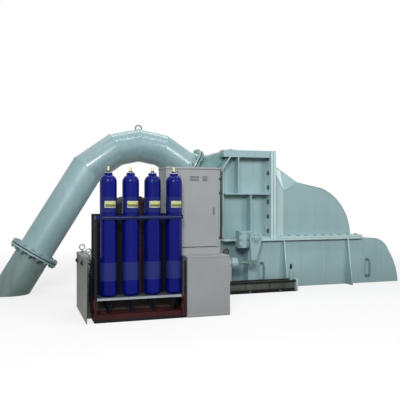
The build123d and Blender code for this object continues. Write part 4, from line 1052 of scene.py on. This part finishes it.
@dataclass
class Casing:
    """Hood and base: bolts and gasket of the split line, welds, plate edges and the shaft end's bolts."""

    flange: float = 0.035
    hood_left: float = 1.140
    hood_flange_end: float = 2.910
    shaft_x: float = 1.720
    shaft_z: float = 0.900
    hood_radius: float = 0.920
    gusset_xs: tuple[float, ...] = (1.260, 2.560)
    gusset: float = 0.020

    def split_bolts(self) -> None:
        """Bolts through the hood's foot flange; the seal housing takes the place of some at the rear."""
        spots = []
        for side in (-1, 1):
            y = SET_Y + side * (CASING_HALF + FLANGE_STAND / 2)
            for number in range(10):
                x = self.hood_left + 0.07 + number * 0.172
                if side < 0 or abs(x - self.shaft_x) >= 0.30:
                    spots.append((x, y))
        spots += [(self.hood_flange_end - 0.060, SET_Y + (number - 2.5) * 0.230) for number in range(6)]
        heads = [stand_at((x, y, SPLIT_Z + self.flange)) for x, y in spots]
        bolted("split_bolts", heads, 0.036, 0.018, finish=Finish.GRIMY)

    def split_line(self) -> None:
        """The gasket line between the two flanges."""
        middle = ((self.hood_left + self.hood_flange_end) / 2, SET_Y, SPLIT_Z)
        size = (self.hood_flange_end - self.hood_left + 0.002, 2 * (CASING_HALF + FLANGE_STAND) + 0.003)
        line = thin_frame("split_gasket", middle, size, (0, 0, 0), 0.030, 0.105)
        fitted(line, Finish.GRIMY)

    def arc_bead(self, face: float) -> Piece:
        """The weld bead along the hood's arc, spun about the shaft's axis.

        Args:
            face: the bead's own depth.

        Returns:
            The bead.
        """
        start = 1.0
        sweep = math.acos(0.320 / self.hood_radius) - math.radians(start)
        centre, out = Vector((self.shaft_x, face, self.shaft_z)), spoke(start)
        lone()
        bpy.ops.mesh.primitive_circle_add(
            vertices=8, radius=0.007, fill_type="NGON", location=centre + out * self.hood_radius,
            rotation=turn_to((-out.z, 0, out.x)),
        )
        bead = fresh("arc")
        with shaping(bead):
            bpy.ops.mesh.spin(
                steps=28, angle=sweep, center=tuple(centre), axis=(0, 1, 0), use_auto_merge=False
            )
            bpy.ops.mesh.select_all(action="SELECT")
            bpy.ops.mesh.normals_make_consistent(inside=False)
        return bead

    def welds(self) -> None:
        """Beads along the hood's arcs and shoulders, and on both sides of each gusset."""
        beads = []
        for side in (-1, 1):
            face = SET_Y + side * CASING_HALF
            foot, low, ridge, end = (
                (x, face, z) for x, z in ((1.290, 0.905), (1.290, 1.702), (1.540, 1.866), (2.040, 1.762))
            )
            neck = (1.140, SET_Y + side * BOX_HALF, 2.220)
            beads.append(self.arc_bead(face))
            for first, last in ((foot, low), (low, ridge), (ridge, end), (low, neck), (ridge, neck)):
                beads.append(bar("bead", first, last, 0.006, 8))
            for gusset_x in self.gusset_xs:
                for edge in (gusset_x, gusset_x + self.gusset):
                    beads.append(bar("bead", (edge, face, 0.004), (edge, face, 0.833), 0.009, 8))
        fitted(joined("casing_welds", beads), Finish.WELD, angle=ROUND)

    def plate_edges(self) -> None:
        """Pale beads along the gussets' front edges, on both sides: painted highlight where light catches the
        edges.
        """
        edges = []
        for side in (-1, 1):
            high, low = (SET_Y + side * (CASING_HALF + stand) for stand in (0.060, 0.200))
            for gusset_x in self.gusset_xs:
                middle = gusset_x + self.gusset / 2
                edges.append(bar("edge", (middle, high, 0.832), (middle, low, 0.006), 0.011, 12, 0.002))
        fitted(joined("gusset_edge_highlights", edges), Finish.PALE, angle=ROUND)

    def step_sleeves(self) -> None:
        """Weld collars and sleeves on the step bars of both sides; their dark tone is partly the rust stains
        at the arms' roots, partly painted shade and shadow round the bars.
        """
        sleeves = []
        for side in (-1, 1):
            face, stand, reach = (SET_Y + side * (CASING_HALF + off) for off in (0, 0.060, 0.105))
            for x in (0.850, 3.000):
                for z in (0.140, 0.450):
                    sleeves.append(bar("collar", (x, face, z), (x, stand, z), 0.022, 24, 0.005))
                sleeves.append(bar("sleeve", (x, reach, 0.200), (x, reach, 0.390), 0.0185, 24, 0.003))
        fitted(joined("step_sleeves", sleeves), Finish.DARK_BAR)

    def shaft_end(self) -> None:
        """Bolts of the seal flange and the gland on the generator side."""
        spots = [
            stand_at((self.shaft_x + dx, y, self.shaft_z + dz), (0, 1, 0))
            for count, radius, y in ((12, 0.225, 1.580), (6, 0.150, 1.770))
            for dx, dz in round_places(count, radius)
        ]
        bolted("seal_bolts", spots, 0.030, 0.015)

    def drain(self) -> None:
        """A hexagon drain plug low on the rear plate."""
        bolted("drain_plug", [stand_at((2.300, SET_Y + CASING_HALF, 0.140), (0, 1, 0))], 0.050, 0.024)

    def build(self) -> None:
        """Model and dress hood, base and shaft end."""
        dress(
            Finish.CASING, "base_front_plate", "base_rear_plate", "base_end_cover", "base_left_plate",
            "base_narrow_part", "base_front_gussets", "base_rear_gussets", "shaft_seal_housing",
        )
        # The hood's pale neck zone is painted light.
        dress(Finish.HOOD, "hood_casing")
        # The flanges' pale enamel is painted highlight.
        dress(Finish.PALE, "hood_end_flange", "hood_foot_flange", "base_top_flange")
        # The step bars' dark tone is painted shade.
        dress(Finish.DARK_BAR, "base_front_handles", "base_rear_handles")
        dress(Finish.STEEL, "drive_shaft")
        self.split_bolts()
        self.split_line()
        self.welds()
        self.plate_edges()
        self.step_sleeves()
        self.shaft_end()
        self.drain()


@dataclass
class VaneDrive:
    """Lever, link rod, servomotor, gauge and their floor frame."""

    hub: tuple[float, float] = (0.648, 0.898)
    pin: tuple[float, float] = (0.602, 0.485)
    lever_y: float = -0.120
    hub_front: float = -0.150
    servo_front: float = 0.310
    servo_rear: float = -0.220
    gauge: tuple[float, float] = (0.100, 0.680)
    frame_top: float = 0.190
    clevis_reach: float = 0.098

    def lever(self) -> None:
        """The hub's bolts, the vane shaft's end cap and the pin's keepers."""
        x, z = self.hub
        around = round_places(6, 0.064, 0)
        spots = [stand_at((x + dx, self.hub_front, z + dz), (0, -1, 0)) for dx, dz in around]
        bolted("hub_bolts", spots, 0.019, 0.009, 0.002, finish=Finish.GRIMY, body=Body.LEVER)
        face = self.lever_y - 0.048
        cap = bar("cap", (x, face + 0.002, z), (x, face - 0.008, z), 0.040, 32, 0.003)
        centre = bar("centre", (x, face - 0.006, z), (x, face - 0.020, z), 0.014, 6, 0.002)
        fitted(joined("vane_shaft_cap", [cap, centre]), Finish.CASING, Body.LEVER)
        x, z = self.pin
        keepers = []
        for side in (-1, 1):
            end = self.lever_y + side * 0.050
            inner, outer, split = end - side * 0.003, end + side * 0.004, end - side * 0.001
            keepers.append(bar("keeper", (x, inner, z), (x, outer, z), 0.026, 28, 0.002))
            keepers.append(bar("split_pin", (x, split, z - 0.030), (x, split, z + 0.030), 0.0022, 8))
        fitted(joined("pin_keepers", keepers), Finish.DARK_BAR, Body.LEVER)

    def bracket(self) -> None:
        """Bolts on the bearing's bracket and a gland ring round the vane shaft."""
        spots = [stand_at((x, -0.050, z), (0, -1, 0)) for x in (0.410, 0.530) for z in (0.765, 0.870, 0.980)]
        bolted("bracket_bolts", spots, 0.030, 0.016, finish=Finish.GRIMY)
        x, z = self.hub
        gland = ring("bearing_gland", (x, -0.070, z), (0, 1, 0), 0.080, 0.007, 48)
        fitted(gland, Finish.FASTENER)

    def link(self) -> None:
        """Lock nut that sets the clevis on the rod."""
        x, z = self.pin
        neck = x - self.clevis_reach
        nut = bar("rod_lock_nut", (neck - 0.030, self.lever_y, z), (neck, self.lever_y, z), 0.042, 6, 0.004)
        fitted(nut, Finish.DARK_BAR, Body.LINK)

    def cylinder(self) -> None:
        """Rear cap with its bolts, head ring, rod wiper, and two ports with rigid oil pipes."""
        y, z = self.lever_y, self.pin[1]
        rear = self.servo_rear - 0.022
        cap = bar("rear_cap", (rear, y, z), (self.servo_rear + 0.010, y, z), 0.092, 40, 0.004)
        head = ring("head_ring", (self.servo_front - 0.120, y, z), (1, 0, 0), 0.094, 0.006, 48)
        fitted(joined("servo_covers", [cap, head]), Finish.CASING)
        spots = [stand_at((rear, y + dy, z + dz), (-1, 0, 0)) for dy, dz in round_places(8, 0.07954)]
        bolted("servo_cap_bolts", spots, 0.019, 0.010, 0.002)
        wiper = ring("rod_wiper", (self.servo_front + 0.002, y, z), (1, 0, 0), 0.030, 0.0045, 40)
        fitted(wiper, Finish.GASKET)
        ports, pipes = [], []
        back, low = y + 0.165, self.frame_top - 0.15
        for x in (self.servo_rear + 0.070, self.servo_front - 0.060):
            ports.append(bar("port", (x, y + 0.055, z), (x, y + 0.125, z), 0.019, 6, 0.002))
            corners = ((x, y + 0.100, z), (x, back, z), (x, back, low), (x + 0.30, back, low))
            pipes.append(run_of_pipe("oil_pipe", corners, 0.010, 0.040))
        fitted(joined("servo_ports", ports), Finish.ZINC)
        fitted(joined("servo_oil_pipes", pipes), Finish.ZINC, angle=50)

    def instrument(self) -> None:
        """The pressure gauge's dial, bezel, marks and pointer, and its stem's hexagon."""
        x, z = self.gauge
        front = self.lever_y - 0.021
        dial = bar("gauge_dial", (x, front + 0.001, z), (x, front - 0.001, z), 0.043, 48)
        fitted(dial, Finish.GAUGE_CARD)
        bezel = ring("gauge_bezel", (x, front - 0.001, z), (0, 1, 0), 0.0475, 0.0085, 56)
        fitted(bezel, Finish.CASE)
        lines = [(225 - 27 * number, 0.0015, 0.033, 0.040, 0.0012) for number in range(11)]
        marks = []
        for degrees, lift, start, end, radius in (*lines, (120, 0.003, -0.010, 0.032, 0.0016)):
            place, out = Vector((x, front - lift, z)), spoke(degrees)
            marks.append(bar("mark", place + out * start, place + out * end, radius, 6))
        marks.append(bar("pivot", (x, front - 0.003, z), (x, front - 0.006, z), 0.004, 16, 0.0006))
        fitted(joined("gauge_marks", marks), Finish.CASE)
        stem = bar("gauge_union", (x, self.lever_y, 0.575), (x, self.lever_y, 0.600), 0.016, 6, 0.002)
        fitted(stem, Finish.BRASS)

    def floor_frame(self) -> None:
        """Anchor bolts through the frame's lips and the pale plate on its end."""
        spots = [stand_at((x, y, 0.012)) for x in (-0.10, 0.45, 1.00) for y in (-0.345, -0.175)]
        bolted("frame_bolts", spots, 0.030, 0.016)
        end = block("frame_end_plate", (1.287, -0.3835, 0.0), (1.316, -0.1365, 0.2055), 0.003)
        fitted(end, Finish.PALE)

    def build(self) -> None:
        """Model and dress the whole drive."""
        dress(Finish.CASING, "vane_bearing", "guide_vane_lever", "servo_cylinder", "servo_stands")
        dress(Finish.DARK_BAR, "link_rod")
        dress(Finish.CASE, "pressure_gauge")
        dress(Finish.FRAME, "servo_frame")
        dress(Finish.KNOB, "knob_post")
        self.lever()
        self.bracket()
        self.link()
        self.cylinder()
        self.instrument()
        self.floor_frame()


@dataclass
class Governor:
    """Oil tank, cabinet and pump motor."""

    left: float = -2.410
    right: float = -0.500
    front: float = -1.880
    bay_back: float = -1.540
    rear: float = -0.640
    top: float = 0.800
    bay_right: float = -1.100
    cabinet_left: float = -1.300
    cabinet_right: float = -0.520
    cabinet_depth: float = 0.430
    cabinet_top: float = 2.000
    door_right: float = -0.556
    door_low: float = 0.907
    door_top: float = 1.892
    door_stand: float = 0.0253
    motor: tuple[float, float] = (-1.720, -1.190)
    motor_radius: float = 0.200
    motor_top: float = 1.600

    def lid(self) -> None:
        """Lid bolts, a filler with its cap, and the plugs on the tank's left face."""
        edge = [(self.left + 0.100 + number * 0.180, self.rear - 0.022) for number in range(7)]
        edge += [(self.left + 0.022, self.bay_back + 0.160 + number * 0.150) for number in range(5)]
        spots = [stand_at((x, y, self.top)) for x, y in edge]
        bolted("lid_bolts", spots, 0.019, 0.009, 0.002, finish=Finish.ZINC)
        x, y, z = self.left + 0.260, self.rear - 0.200, self.top
        neck = bar("neck", (x, y, z), (x, y, z + 0.060), 0.042, 32, 0.002)
        cap = bar("cap", (x, y, z + 0.045), (x, y, z + 0.085), 0.052, 24, 0.006)
        fitted(joined("oil_filler", [neck, cap]), Finish.ZINC)
        plugs = [stand_at((self.left, y, z), (-1, 0, 0)) for y, z in ((-0.769, 0.690), (-1.399, 0.715))]
        bolted("tank_plugs", plugs, 0.046, 0.022, 0.005, finish=Finish.CASE)

    def level_gauge(self) -> None:
        """A sight tube for the oil level on the rear face, with its mounts and guard."""
        x, y = -1.500, self.rear
        parts = [
            block("mount", (x - 0.022, y, 0.250), (x + 0.022, y + 0.026, 0.280), 0.003),
            block("mount", (x - 0.022, y, 0.520), (x + 0.022, y + 0.026, 0.550), 0.003),
            block("guard", (x - 0.018, y, 0.270), (x + 0.018, y + 0.006, 0.530), 0.002),
        ]
        fitted(joined("level_gauge_body", parts), Finish.ZINC)
        tube = bar("level_gauge_tube", (x, y + 0.016, 0.275), (x, y + 0.016, 0.525), 0.009, 20, 0.001)
        fitted(tube, Finish.DIAL)

    def pump(self) -> None:
        """Cooling ribs, fan cowl, terminal box and mounting bolts of the motor."""
        (x, y), radius = self.motor, self.motor_radius
        lone()
        bpy.ops.mesh.primitive_cube_add(
            size=1, location=(radius + 0.010, 0, 1.270), scale=(0.030, 0.006, 0.430)
        )
        rib = fresh("rib_master")
        with shaping(rib, lambda face: face.normal.x > 0.9):
            bpy.ops.mesh.bevel(offset=0.002, segments=1)
        # Three of the 32 ribs make room for the terminal box.
        turns = [2 * math.pi * number / 32 for number in range(32) if number not in (23, 24, 25)]
        places = [Matrix.Translation((x, y, 0)) @ Matrix.Rotation(turn, 4, "Z") for turn in turns]
        fitted(repeated("motor_ribs", rib, places), Finish.MOTOR)
        cowl = bar("cowl", (x, y, 1.490), (x, y, self.motor_top - 0.015), radius + 0.028, 64, 0.020)
        with shaping(cowl, lambda face: face.normal.z > 0.99 and len(face.vertices) > 8):
            for thickness, depth in 3 * ((0.022, 0), (0.004, -0.006), (0.010, 0), (0.004, 0.006)):
                bpy.ops.mesh.inset(thickness=thickness, depth=depth)
        base_ring = bar("base_ring", (x, y, 0.990), (x, y, 1.045), radius + 0.020, 64, 0.004)
        box = block("terminal_box", (x - 0.080, y - 0.290, 1.180), (x + 0.080, y - 0.190, 1.330), 0.008)
        with shaping(box, lambda face: face.normal.y < -0.99):
            bpy.ops.mesh.inset(thickness=0.010, depth=0.006)
        fitted(joined("motor_cowl", [cowl, base_ring, box]), Finish.MOTOR)
        spots = [stand_at((x + dx, y + dy, 0.825)) for dx, dy in round_places(8, 0.205)]
        bolted("motor_bolts", spots, 0.022, 0.011, 0.003, finish=Finish.ZINC)

    def cabinet(self) -> None:
        """The rain lip, the seam below the door, its hinges and the rear louvres."""
        face, back = self.bay_back, self.bay_back + self.cabinet_depth
        lip = block(
            "lip", (self.cabinet_left - 0.006, face - 0.012, self.cabinet_top - 0.022),
            (self.cabinet_right + 0.006, back + 0.006, self.cabinet_top + 0.004), 0.004,
        )
        fitted(joined("cabinet_lip", [lip]), Finish.CABINET)
        z = self.door_low - 0.012
        seam = block(
            "cabinet_seam", (self.bay_right, face - 0.0015, z - 0.003),
            (self.cabinet_right - 0.004, face + 0.001, z + 0.003), 0.0005,
        )
        fitted(seam, Finish.GRIP)
        # The barrels stand on the door's own axis.
        x, y = self.bay_right, face - self.door_stand
        hinges = []
        for z in (1.020, 1.400, 1.780):
            hinges.append(bar("hinge", (x, y, z - 0.040), (x, y, z + 0.040), 0.0085, 16, 0.002))
        fitted(joined("door_hinges", hinges), Finish.ZINC, Body.DOOR)
        slats = []
        for number in range(6):
            z = 1.560 + number * 0.036
            slats.append(block("slat", (-1.150, back - 0.001, z), (-0.670, back + 0.010, z + 0.018), 0.004))
        fitted(joined("cabinet_rear_louvres", slats), Finish.CABINET)

    def lock(self) -> None:
        """The lock barrel under the door handle."""
        x, y = self.door_right - 0.064, self.bay_back - self.door_stand - 0.006
        z = (self.door_low + self.door_top) / 2 - 0.062
        barrel = bar("door_lock", (x, y + 0.002, z), (x, y - 0.005, z), 0.008, 20, 0.001)
        fitted(barrel, Finish.ZINC, Body.DOOR)

    def edge_strip(self) -> None:
        """The black strip with three catches along the cabinet's right front edge."""
        x, y = self.cabinet_right, self.bay_back
        # A black strip, and partly painted shadow: its black also stands in for the shadow line between the
        # cabinet and the guide box.
        parts = [block("strip", (x, y - 0.006, 0.996), (x + 0.026, y + 0.012, 1.985), 0.003)]
        for z in (1.026, 1.648, 1.847):
            low, high = (x - 0.012, y - 0.014, z - 0.017), (x + 0.029, y + 0.010, z + 0.017)
            parts.append(block("catch", low, high, 0.004))
        fitted(joined("cabinet_edge_strip", parts), Finish.CASE)

    def switch_box(self) -> None:
        """The lower box's folded top lips and its foot strip."""
        left, right, front, rear = self.bay_right, self.right, self.front, self.rear
        low, high = self.top - 0.018, self.top + 0.004
        parts = [
            block("lip", (left - 0.004, front - 0.004, low), (right + 0.004, front + 0.010, high), 0.003),
            block("lip", (right - 0.010, front - 0.004, low), (right + 0.004, rear + 0.004, high), 0.003),
            block("foot", (left - 0.001, front - 0.002, 0.0), (right + 0.002, front + 0.006, 0.040), 0.002),
        ]
        fitted(joined("switch_box_lips", parts), Finish.CABINET)

    def build(self) -> None:
        """Model and dress the whole governor."""
        dress(Finish.TANK, "oil_tank", "tank_lid")
        dress(Finish.CABINET, "lower_cabinet", "cabinet_shell", "cabinet_door")
        dress(Finish.GRIP, "door_handle")
        dress(Finish.MOTOR, "pump_motor")
        dress(Finish.ZINC, "tank_eyebolts")
        self.lid()
        self.level_gauge()
        self.pump()
        self.cabinet()
        self.lock()
        self.edge_strip()
        self.switch_box()


@dataclass
class AccumulatorBank:
    """The four bottles with their plates, valves and ports, and the rack."""

    xs: tuple[float, ...] = (-2.115, -1.824, -1.533, -1.242)
    y: float = -1.720
    radius: float = 0.1095
    top: float = 1.900
    shelf_low: float = 0.280
    band_z: float = 1.300
    band_height: float = 0.050
    plate_low: float = 1.452
    plate_high: float = 1.538
    plate_angle: float = 76.0

    def wrapped_plate(self, bottle_x: float, low: float, high: float, reach: float, lift: float) -> Piece:
        """A thin plate that follows the bottle's front.

        Args:
            bottle_x: the bottle's axis.
            low: lower edge.
            high: upper edge.
            reach: how far round it goes, in degrees.
            lift: how far it stands off the bottle.

        Returns:
            The plate.
        """

        def outside(vertex: bpy.types.MeshVertex) -> bool:
            """Whether a corner of the full circle lies beyond the plate."""
            angle = math.atan2(vertex.co.y - self.y, vertex.co.x - bottle_x)
            return abs(angle - math.radians(-82.0)) > math.radians(reach / 2)

        lone()
        bpy.ops.mesh.primitive_circle_add(
            vertices=96, radius=self.radius + lift, location=(bottle_x, self.y, low)
        )
        plate = fresh("plate")
        with shaping(plate, outside, "VERT"):
            bpy.ops.mesh.delete(type="VERT")
            bpy.ops.mesh.select_all(action="SELECT")
            bpy.ops.mesh.extrude_region_move(TRANSFORM_OT_translate={"value": (0, 0, high - low)})
            bpy.ops.mesh.select_all(action="SELECT")
            bpy.ops.mesh.normals_make_consistent(inside=False)
        return thickened(plate, 0.0012)

    def plates(self) -> None:
        """Bare label plates: a pale frame with yellow-green foil inside."""
        low, high, reach = self.plate_low, self.plate_high, self.plate_angle
        rims, foils = [], []
        for x in self.xs:
            rims.append(self.wrapped_plate(x, low, high, reach + 8, 0.0010))
            foils.append(self.wrapped_plate(x, low + 0.011, high - 0.011, reach, 0.0026))
        fitted(joined("label_rims", rims), Finish.RIM, angle=ROUND)
        fitted(joined("label_foils", foils), Finish.FOIL, angle=ROUND)

    def valves(self) -> None:
        """A pale ring on each crown, a dark neck collar, the gas valve, and one test tap."""
        places = [Matrix.Translation((x, self.y, self.top)) for x in self.xs]
        crown = bar("crown_master", (0, 0, -0.003), (0, 0, 0.008), 0.049, 40, 0.003)
        fitted(repeated("crown_rings", crown, places), Finish.RIM)
        collar = bar("collar", (0, 0, 0.006), (0, 0, 0.020), 0.031, 32, 0.003)
        nut = bar("nut", (0, 0, 0.018), (0, 0, 0.030), 0.025, 6, 0.003)
        master = joined("collar_master", [collar, nut])
        fitted(repeated("neck_collars", master, places), Finish.BLACK)
        x, y, z = self.xs[-1] + 0.052, self.y, self.top
        stem = bar("tap_stem", (x, y, z - 0.028), (x, y, z + 0.074), 0.009, 16, 0.002)
        nut = bar("tap_nut", (x, y, z + 0.020), (x, y, z + 0.042), 0.015, 6, 0.002)
        fitted(joined("test_tap", [stem, nut]), Finish.GRIP)
        stem = bar("stem", (0, 0, 0.028), (0, 0, 0.060), 0.017, 24, 0.003)
        cap = bar("cap", (0, 0, 0.059), (0, 0, 0.081), 0.0155, 20, 0.003)
        master = joined("valve_master", [stem, cap])
        fitted(repeated("gas_valves", master, places), Finish.BRASS)

    def ports(self) -> None:
        """A tapered cup round each cone below the shelf and a plug in its tip."""
        foot = (0, 0, -0.104)
        cup = bar("cup", foot, (0, 0, -0.001), 0.078, 40, 0.003)
        with shaping(cup, lambda face: face.center.z < -0.1):
            bpy.ops.transform.resize(value=(0.56, 0.56, 1.0), center_override=foot)
        plug = bar("tip_plug", (0, 0, -0.204), (0, 0, -0.190), 0.018, 8, 0.003)
        places = [Matrix.Translation((x, self.y, self.shelf_low)) for x in self.xs]
        fitted(repeated("port_fittings", joined("port_master", [cup, plug]), places), Finish.BLACK)

    def rack(self) -> None:
        """Rubber pads behind the band, the pale line on it, and the bent brackets at both ends."""
        front = self.y - self.radius - 0.001
        low, high = self.band_z - 0.004, self.band_z + self.band_height + 0.004
        pads = []
        for x in self.xs:
            corners = (x - 0.030, front - 0.001, low), (x + 0.030, front + 0.0035, high)
            pads.append(block("pad", *corners, 0.001))
        fitted(joined("band_pads", pads), Finish.GASKET)
        y, z = front - 0.0085, self.band_z + 0.030
        fitted(bar("band_bead", (-2.205, y, z), (-1.160, y, z), 0.0028, 8), Finish.BAND_LINE)
        bends = ((0.022, 0.318), (-0.012, 0.235), (0.026, 0.150), (0, 0.030))
        brackets = []
        for x, way in ((-2.318, 1), (-1.142, -1)):
            corners = [(x + way * off, -1.872, z) for off, z in bends]
            brackets.append(run_of_pipe("bent_bracket", corners, 0.015, 0.050))
        fitted(joined("bent_brackets", brackets), Finish.POST, angle=50)

    def charging_valve(self) -> None:
        """The hand valve and the rigid oil pipes between the left post and the side plate."""
        x, y, z = -2.340, -1.828, 0.600
        riser = (
            (x, -1.770, 0.120), (x, -1.770, 0.760), (x + 0.012, -1.690, 0.760),
            (x + 0.012, -1.560, 0.760),
        )
        branch = ((x + 0.014, -1.700, 0.300), (x - 0.014, -1.720, 0.440), (x + 0.016, -1.770, 0.560))
        back = (
            (x - 0.026, -1.790, 0.260), (x - 0.026, -1.790, 0.520), (x + 0.010, -1.780, 0.700),
            (x - 0.022, -1.700, 0.740),
        )
        parts = [
            block("valve_block", (x - 0.020, -1.800, 0.560), (x + 0.024, -1.740, 0.640), 0.004),
            bar("spindle", (x, -1.800, z), (x, -1.826, z), 0.008, 12, 0.001),
            ring("hand_wheel", (x, y, z), (0, 1, 0), 0.034, 0.006, 36),
            bar("spoke", (x - 0.032, y, z), (x + 0.032, y, z), 0.004, 8),
            bar("spoke", (x, y, z - 0.032), (x, y, z + 0.032), 0.004, 8),
            run_of_pipe("riser", riser, 0.012, 0.040),
            run_of_pipe("branch", branch, 0.011, 0.060),
            run_of_pipe("return", back, 0.009, 0.050),
        ]
        fitted(joined("charging_valve", parts), Finish.BLACK, angle=45)

    def build(self) -> None:
        """Model and dress the whole bank."""
        dress(Finish.BOTTLE, "accumulator_1", "accumulator_2", "accumulator_3", "accumulator_4")
        dress(Finish.BRASS, "accumulator_valves")
        dress(Finish.BLACK, "accumulator_ports")
        dress(Finish.CLAMP, "rack_clamp_band")
        dress(Finish.PANEL, "rack_back_panel")
        dress(Finish.SHELF, "rack_shelf")
        dress(Finish.RACK, "rack_frame")
        dress(Finish.POST, "rack_middle_post")
        self.plates()
        self.valves()
        self.ports()
        self.rack()
        self.charging_valve()


# ---- studio ----


@dataclass
class Studio:
    """Camera, soft lamps, pale floor and white surroundings."""

    eye: tuple[float, float, float] = (-3.220, -8.940, 1.550)
    turn: float = 18.0
    lens: float = 50.4
    # Place, target, width and height, and power of each lamp.
    lamps: tuple[tuple[Point, Point, tuple[float, float], float], ...] = (
        ((5.5, -11.0, 7.0), (0.0, 0.0, 1.0), (4.0, 4.0), 430.0),
        ((-4.5, -11.0, 6.0), (0.0, 0.0, 1.0), (3.0, 3.0), 890.0),
        ((-0.5, -2.2, 7.5), (-0.5, 0.0, 1.0), (7.0, 0.4), 115.0),
        ((-0.5, 2.6, 7.5), (-0.5, 0.8, 1.0), (7.0, 0.4), 90.0),
        ((1.0, 8.0, 5.0), (0.0, 0.5, 1.0), (5.0, 5.0), 60.0),
    )

    def camera(self) -> None:
        """Stand the camera at eye level in front of the set."""
        data = bpy.data.cameras.new("eye_level")
        data.lens = self.lens
        data.sensor_width = 36.0
        data.clip_end = 200.0
        camera = bpy.data.objects.new("eye_level", data)
        camera.location = self.eye
        camera.rotation_euler = (math.pi / 2, 0, -math.radians(self.turn))
        bpy.context.scene.collection.objects.link(camera)
        bpy.context.scene.camera = camera

    def lights(self) -> None:
        """Hang the soft lamps."""
        for number, (place, target, size, power) in enumerate(self.lamps, start=1):
            data = bpy.data.lights.new(f"soft_lamp_{number}", "AREA")
            data.shape = "RECTANGLE"
            data.size, data.size_y = size
            data.energy = power
            lamp = bpy.data.objects.new(data.name, data)
            lamp.location = place
            lamp.rotation_euler = (Vector(target) - Vector(place)).to_track_quat("-Z", "Y").to_euler()
            bpy.context.scene.collection.objects.link(lamp)

    def seen(self, tree: Tree) -> Socket:
        """Add up the rays that see the white surroundings: camera, gloss and glass.

        Args:
            tree: the world's or a material's node tree.

        Returns:
            A value of 1 for such a ray.
        """
        path = add_node(tree, "LightPath").outputs
        gloss = maths(tree, "MAXIMUM", path["Is Glossy Ray"], path["Is Transmission Ray"])
        return maths(tree, "MAXIMUM", path["Is Camera Ray"], gloss)

    def surroundings(self) -> None:
        """White for the camera and for reflections, soft grey daylight for the rest."""
        world = bpy.data.worlds.new("surroundings")
        bpy.context.scene.world = world
        world.use_nodes = True
        tree = world.node_tree
        tree.nodes.clear()
        day = add_node(tree, "Background", {"Color": "#E9EEF0", "Strength": 0.25})
        white = add_node(tree, "Background", {"Color": "#FFFFFF", "Strength": 1.0})
        mixed = add_node(tree, "MixShader", {0: self.seen(tree), 1: day.outputs[0], 2: white.outputs[0]})
        add_node(tree, "OutputWorld", {"Surface": mixed.outputs[0]})

    def floor(self) -> None:
        """A pale floor that keeps the set's soft shadow and fades to white away from it."""
        lone()
        bpy.ops.mesh.primitive_plane_add(size=120, location=(0, 0, -0.001))
        floor = bpy.context.object
        floor.name = "studio_floor"
        material, tree, place = new_material("studio_floor")
        shade = blend(tree, add_node(tree, "LightPath").outputs["Is Camera Ray"], "#383837", "#F8F8F7")
        matt = add_node(tree, "BsdfDiffuse", {"Color": shade})
        white = add_node(tree, "Emission", {"Color": "#FFFFFF", "Strength": 1.0})
        away = add_node(tree, "VectorMath", {0: place}, operation="LENGTH").outputs["Value"]
        share = maths(tree, "MULTIPLY", self.seen(tree), spread(tree, away, (4.0, 9.0), (0.72, 1.0)))
        mixed = add_node(tree, "MixShader", {0: share, 1: matt.outputs[0], 2: white.outputs[0]})
        add_node(tree, "OutputMaterial", {"Surface": mixed.outputs[0]})
        floor.data.materials.append(material)

    def build(self) -> None:
        """Set the whole studio up."""
        bpy.context.scene.view_settings.view_transform = "Standard"
        self.camera()
        self.lights()
        self.surroundings()
        self.floor()


def main() -> None:
    """Build the set from the water's way in to the governor, then the studio."""
    logging.basicConfig(level=logging.INFO, format="%(name)s: %(message)s")
    bend = InletBend()
    bend.build()
    GuideBox().build(bend)
    Casing().build()
    VaneDrive().build()
    Governor().build()
    AccumulatorBank().build()
    Studio().build()


if __name__ == "__main__":
    main()
